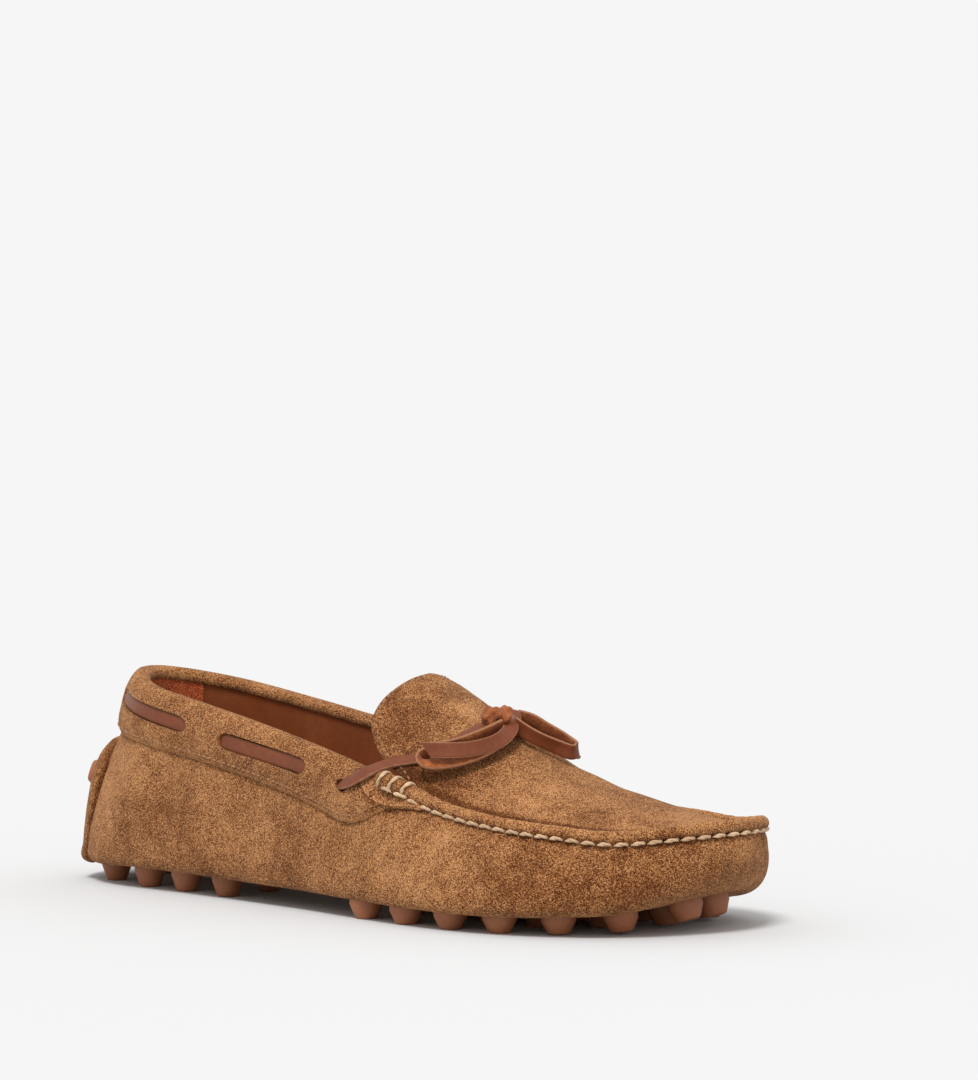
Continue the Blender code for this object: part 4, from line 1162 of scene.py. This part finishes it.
# Heel patch: a padded suede piece over the back of the heel, turned out in a lip at its foot.
# Three rubber studs come through it in a row, against the floor mat.
PATCH_ANGLES = np.array([-4, -3, -2, -1, 0, 1, 2, 3, 4]) * math.pi / 36
PATCH_FEET = np.array([0.12, 0.115, 0.11, 0.11, 0.11, 0.11, 0.11, 0.115, 0.12])
PATCH_TOPS = np.array([0.66, 0.71, 0.73, 0.74, 0.74, 0.74, 0.73, 0.71, 0.66])
PATCH_LIFTS = np.array([
    (0.0, 4.2), (0.08, 6.2), (0.25, 4.6), (0.45, 4.2), (0.65, 4.7), (0.85, 5.3), (0.95, 4.9), (1.0, 3.6),
])
HEEL_STUD_ANGLES = (-0.24, 0.0, 0.24)
HEEL_STUD_Z = 37.2
HEEL_STUD_LONG = 7.0
HEEL_STUD_STRAIGHT = 4.6
HEEL_STUD_RADIUS = 5.0
PATCH_SOFT_EDGE = 0.9
PATCH_SEAT = 0.3
PATCH_EDGE_WIDE = 0.06
PATCH_NAP = [((14, -8, 50), 10, 0.7), ((14, 8, 30), 10, -0.5), ((12, 0, 20), 8, 0.5)]

patch_rows = []
patch_shares = np.linspace(1.0, 0.0, 61)
patch_turns = np.linspace(PATCH_ANGLES[-1], PATCH_ANGLES[0], 57)[::-1]
patch_foot = smooth(PATCH_ANGLES, PATCH_FEET, patch_turns)
patch_top = smooth(PATCH_ANGLES, PATCH_TOPS, patch_turns)
for share in patch_shares:
    rise = patch_foot + (patch_top - patch_foot) * share
    edge = 0.6 + 0.4 * np.clip((PATCH_ANGLES[-1] - np.abs(patch_turns)) / PATCH_EDGE_WIDE, 0, 1)**0.5
    lift = PATCH_SEAT + smooth(PATCH_LIFTS[:, 0], PATCH_LIFTS[:, 1], np.full_like(rise, share)) * edge
    patch_rows.append(wall(patch_turns, rise) + wall_directions(patch_turns, rise)[1] * lift[:, None])
patch = np.array(patch_rows)
patch_rises = patch_foot + (patch_top - patch_foot) * patch_shares[:, None]
patch_turn_grid = np.broadcast_to(patch_turns, patch_rises.shape)
seat_lift = heel_fullness(patch_turn_grid, patch_rises) - PATCH_SEAT
seat_out = wall_directions(patch_turn_grid, patch_rises)[1]
seat = wall(patch_turn_grid, patch_rises) + seat_out * seat_lift[..., None]
framed = np.pad(seat, ((1, 1), (1, 1), (0, 0)), mode="edge")
framed[1:-1, 1:-1] = patch
heel_patch = sheet("suede_heel_patch", framed)
weld(heel_patch)
soften(heel_patch, PATCH_SOFT_EDGE, 40, segments=3)
shade(heel_patch, 50)
# Painted shade: a dark line round the patch's edge, where it tucks down to the shell.
patch_border_shade = np.concatenate([seat[0], seat[-1], seat[:, 0], seat[:, -1]])
paint_nap_light_and_shade(heel_patch, PATCH_NAP, [(patch_border_shade, 1.6, -2.6)])
heel_patch.data.materials.append(suede)
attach(heel_patch, "root")
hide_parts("heel_patch")

heel_places = []
for angle in HEEL_STUD_ANGLES:
    climb = np.linspace(0.0, 1.0, 81)
    rise = float(np.interp(HEEL_STUD_Z, wall(np.full_like(climb, angle), climb)[:, 2], climb))
    heel_places.append((wall(angle, rise), wall_directions(angle, rise)[1], HEEL_STUD_LONG))
heel_stud = one_stud("heel_stud", 0.0, HEEL_STUD_STRAIGHT, HEEL_STUD_LONG, HEEL_STUD_RADIUS, STUD_END_RADIUS)
heel_studs = set_studs("heel_patch_studs", heel_stud, HEEL_STUD_STRAIGHT, HEEL_STUD_LONG, heel_places)
shade(heel_studs, 35)
heel_studs.data.materials.append(rubber)
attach(heel_studs, "root")
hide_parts("heel_stud_1", "heel_stud_2", "heel_stud_3")

# Lace: one flat strip of oiled leather, smooth grain on one side and rough flesh on the other, with pale cut
# edges. It runs round the collar in the band's tunnel, comes out at both sides and goes over the tongue.
LACE_OVER_BAND = ((152.0, 7.0, 1.6), (155.4, 6.2, 3.3), (160.5, 3.9, 4.9), (165.5, -0.4, 5.0))
LACE_PULLED_IN = 0.6
LACE_TO_KNOT = {
    -1: ((169.6, -30.8, 50.2), (177.6, -27.4, 51.9), (185.0, -22.4, 55.6), (189.0, -15.8, 59.4),
         (190.8, -8.8, 62.0)),
    1: ((169.6, 30.8, 50.2), (177.7, 27.8, 52.3), (185.0, 22.4, 56.2), (189.5, 13.5, 60.2),
        (191.0, 3.0, 62.9)),
}
LACE_RING = (
    (2.3, 0.5), (1.5, 0.55), (0.7, 0.58), (0.0, 0.59), (-0.7, 0.58), (-1.5, 0.55), (-2.3, 0.5),
    (-2.47, 0.36), (-2.5, 0.0), (-2.47, -0.36), (-2.3, -0.48), (-1.0, -0.5), (0.0, -0.5), (1.0, -0.5),
    (2.3, -0.48), (2.47, -0.36), (2.5, 0.0), (2.47, 0.36),
)
LACE_GRAIN = (0, 1, 2, 3, 4, 5)
LACE_FLESH = (10, 11, 12, 13)
WINDOW_LIFT = 2.35
WINDOW_RAMP = 4.0
TUNNEL_END_X = 147.0
HOLE_FROM_TUNNEL = 5.0
PULLED_REACH = 5.5

grain = blended_finish(
    "lace_grain", 0.5, [(0.8, 70.0, 3.0), (0.5, 600.0, 3.0)],
    [(0.15, (0.108, 0.025, 0.0073)), (0.5, (0.152, 0.037, 0.0107)), (0.9, (0.212, 0.058, 0.0180))],
    bump=((1300.0, 3.0), 0.2, 0.0002), gloss=(0.34, 0.24, 240.0, 3.0))
grain.node_tree.nodes["Principled BSDF"].inputs["Specular IOR Level"].default_value = 0.3
flesh = blended_finish(
    "lace_flesh", 0.95, [(0.9, 260.0, 3.0), (1.1, 1500.0, 3.0, 0.7)],
    [(0.15, (0.110, 0.022, 0.004)), (0.5, (0.26, 0.066, 0.0125)), (0.9, (0.44, 0.150, 0.040))],
    bump=((1500.0, 3.0, 0.7), 0.6, 0.0006), sheen=0.06)
cut_edge = blended_finish(
    "lace_cut_edge", 0.8, [(1.0, 900.0, 3.0)], [(0.2, (0.19, 0.070, 0.028)), (0.8, (0.34, 0.155, 0.070))],
    bump=((1800.0, 3.0), 0.4, 0.0003))


def strip(name, path, faces, curl=0.0, wide=1.0, slant=0.0):
    """Lace along a path, grain where it faces; curl bends its edges, slant cuts its far end askew."""
    along = unit(np.gradient(path, axis=0))
    across = unit(np.cross(faces, along))
    out = np.cross(along, across)
    curl = np.broadcast_to(curl, len(path))
    wide = np.broadcast_to(wide, len(path))
    ring = LACE_RING + LACE_RING[:1]
    askew = slant * np.clip(np.linspace(-1.5, 1.0, len(path)), 0, 1)
    side, rise = np.array(ring).T[:, None, :, None]
    curl, wide, askew = [values[:, None, None] for values in (curl, wide, askew)]
    from_middle = side / (LACE_WIDE / 2)
    rows = path[:, None] + across[:, None] * side * wide + out[:, None] * (rise + curl * from_middle**2)
    piece = sheet(name, rows + along[:, None] * askew * from_middle)
    columns = len(LACE_RING)
    for finish in (grain, flesh, cut_edge):
        piece.data.materials.append(finish)
    for face in piece.data.polygons:
        column = face.index % columns
        face.material_index = 0 if column in LACE_GRAIN else 1 if column in LACE_FLESH else 2
    weld(piece, close=True)
    for face in piece.data.polygons:
        if len(face.vertices) > 4:
            face.material_index = 2
    shade(piece, 50)
    return piece


def curve_through(points, faces, count):
    """Evenly spaced points on a smooth curve through a few points, with the directions faced there."""
    points, faces = np.asarray(points, float), np.asarray(faces, float)
    run = run_of(points)
    return refine_line(points, count), unit(pick(np.linspace(0.0, run[-1], count), run, faces))


def lace_front(side, start, start_face):
    """Lace from the end of its tunnel, over the band and the tongue, to the knot."""
    points, faces = [start], [start_face]
    for x, drop, lift in LACE_OVER_BAND:
        angle = side * float(angle_at(TOP_ENDS, x))
        here = lay_on_wall([angle], [[drop, drop, drop]], [[lift, 0.0, 1.0]])[0]
        points.append(here[0])
        faces.append(unit(here[2] - here[1] + np.array([0.0, 0.0, 0.4])))
    for point in LACE_TO_KNOT[side]:
        points.append(np.array(point))
        faces.append(unit(np.array([0.27, side * 0.66, 1.0])))
    return curve_through(points, faces, 70)


tunnel_end = float(angle_at(TOP_ENDS, TUNNEL_END_X))
tunnel = np.linspace(-tunnel_end, tunnel_end, 241)
tunnel_x = outline("top", tunnel)[0]
lace_lift = 0.5 + 0.5 * beside_heel(tunnel_x)
for window in WINDOWS:
    inside = np.clip(np.minimum(tunnel_x - window[0], window[1] - tunnel_x) / WINDOW_RAMP + 0.8, 0, 1)
    lace_lift += (WINDOW_LIFT - lace_lift) * inside**2 * (3 - 2 * inside)
pair_lifts = np.stack([lace_lift, lace_lift + 1.0], axis=-1)
pairs = lay_on_wall(tunnel, np.stack([lace_drop(tunnel_x)] * 2, axis=-1), pair_lifts)
outer_front = lace_front(-1, pairs[0, 0], pairs[0, 1] - pairs[0, 0])
inner_front = lace_front(1, pairs[-1, 0], pairs[-1, 1] - pairs[-1, 0])
lace_path = np.concatenate([outer_front[0][:0:-1], pairs[:, 0], inner_front[0][1:]])
lace_faces = np.concatenate([outer_front[1][:0:-1], pairs[:, 1] - pairs[:, 0], inner_front[1][1:]])
hole_run = run_of(lace_path)
hole_ends = (hole_run[len(outer_front[0]) - 1], hole_run[len(outer_front[0]) - 1 + len(tunnel)])
hole_away = np.minimum(np.abs(hole_run - hole_ends[0] + HOLE_FROM_TUNNEL),
                       np.abs(hole_run - hole_ends[1] - HOLE_FROM_TUNNEL))
lace_wide = 1 - (1 - LACE_PULLED_IN) * np.exp(-(hole_away / PULLED_REACH)**2)
lace_run = strip("lace_round_collar", lace_path, lace_faces, wide=lace_wide)
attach(lace_run, "root")
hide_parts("lace_run")

# Knot: the lace is crossed, pulled into a rough lump and wrapped once by a strap of itself.
# It sits on the instep, and the bow's loops and ends come out of it.
KNOT_CENTRE = np.array((192.6, -5.8, 64.6))
KNOT_HALF = np.array((5.6, 4.0, 3.3))
WRAP_CENTRE = np.array((196.0, -2.5, 62.4))
WRAP_HALF = (3.6, 4.0)
ACROSS_BOW = np.array((0.766, 0.643, 0.0))
FRONT_OF_BOW = np.array((0.643, -0.766, 0.0))
UPWARDS = np.array((0.0, 0.0, 1.0))

turn = np.linspace(0, 2 * math.pi, 49)
tilt = np.linspace(-1.0, 1.0, 37)[:, None]
waist = np.sqrt(np.maximum(1 - tilt**4, 0.02))
folds_in = 1 + 0.13 * np.sin(3 * turn + 5 * tilt) + 0.07 * np.sin(5 * turn - 9 * tilt + 1.0)
folds_in += 0.05 * np.sin(11 * tilt + 2 * turn)
lump_parts = [tilt + 0 * turn, np.cos(turn) * waist * folds_in, np.sin(turn) * waist * folds_in]
lump_axes = KNOT_HALF[:, None] * np.array((ACROSS_BOW, FRONT_OF_BOW, UPWARDS))
lump = sum(axis * part[..., None] for axis, part in zip(lump_axes, lump_parts))
knot = sheet("lace_knot_tied", KNOT_CENTRE + lump)
weld(knot, close=True)
shade(knot, 70)
knot.data.materials.append(flesh)
wrap_turn = np.linspace(-0.45 * math.pi, 1.4 * math.pi, 70)
wrap_front = np.cos(wrap_turn)[:, None] * FRONT_OF_BOW
wrap_up = np.sin(wrap_turn)[:, None] * UPWARDS
wrap_path = WRAP_CENTRE + WRAP_HALF[0] * wrap_front + WRAP_HALF[1] * wrap_up
wrap_path -= (0.5 * wrap_turn - 0.6)[:, None] * ACROSS_BOW
wrap_faces = wrap_front / WRAP_HALF[0] + wrap_up / WRAP_HALF[1]
wrap = strip("wrap", wrap_path, unit(wrap_faces), curl=-0.4, wide=0.92)
join(knot, wrap)
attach(knot, "root")
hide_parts("lace_knot")

# Bow: two loops and two free ends of the same lace. They lie loose over the instep, the ends cut on a slant.
# Each is listed with the points it goes through, the way its grain faces there and how its far end is held.
BOW = {
    "bow_loop_outer": (
        "lace_loop_lateral", "knot", 0.0,
        ((196.1, -8.5, 61.9), (193.9, -16.6, 58.9), (189.9, -21.9, 56.6), (185.2, -26.7, 55.0),
         (182.2, -29.7, 53.6), (181.6, -31.8, 52.2), (184.1, -32.3, 51.2), (190.9, -28.8, 51.2),
         (196.5, -24.4, 53.0), (199.4, -19.8, 55.2), (200.0, -12.0, 59.0)),
        ((-0.75, 0.3, 0.55),) * 4 + ((-0.85, -0.05, 0.4), (-0.9, -0.3, 0.0), (-0.6, 0.2, -0.6))
        + ((-0.25, 0.65, -0.7),) * 4),
    "bow_end_outer": (
        "lace_end_lateral", "bare", -2.0,
        ((195.0, -3.2, 63.0), (199.4, -8.0, 61.0), (201.2, -16.8, 57.5), (197.4, -25.6, 55.4),
         (191.6, -30.6, 55.0), (185.6, -33.4, 55.0)),
        ((0.62, -0.76, 0.12),) * 6),
    "bow_loop_inner": (
        "lace_loop_medial", "knot", 0.0,
        ((198.0, -4.4, 62.6), (204.5, -1.9, 58.5), (209.4, 2.8, 55.5), (213.6, 6.6, 53.5), (213.3, 9.0, 54.2),
         (208.6, 9.0, 56.7), (203.0, 4.8, 60.8), (199.8, 1.8, 63.4), (196.6, -1.2, 64.6)),
        ((0.5, -0.78, -0.4),) * 3 + ((0.85, -0.2, -0.2), (0.6, 0.75, 0.2)) + ((-0.4, 0.75, 0.5),) * 4),
    "bow_end_inner": (
        "lace_end_medial", "bare", 1.5,
        ((193.0, -7.5, 63.4), (196.5, 0.6, 60.6), (201.0, 7.2, 56.6), (205.2, 11.4, 53.4),
         (208.4, 16.0, 50.8)),
        ((0.38, 0.35, 0.85),) * 5),
}
BOW_POINTS = 90

for name, (node, far_end, slant, route, faces) in BOW.items():
    path, turned = curve_through(route, faces, BOW_POINTS)
    bow_piece = strip(name, path, turned, curl=0.3, slant=slant)
    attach(bow_piece, "root")
    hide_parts(node)
    points = (path - TABLE_ORIGIN) * MM
    cord_path = [tuple(point) for point in points[::3]] + [tuple(points[-1])]
    [knot] if name == "bow_loop_outer" else []
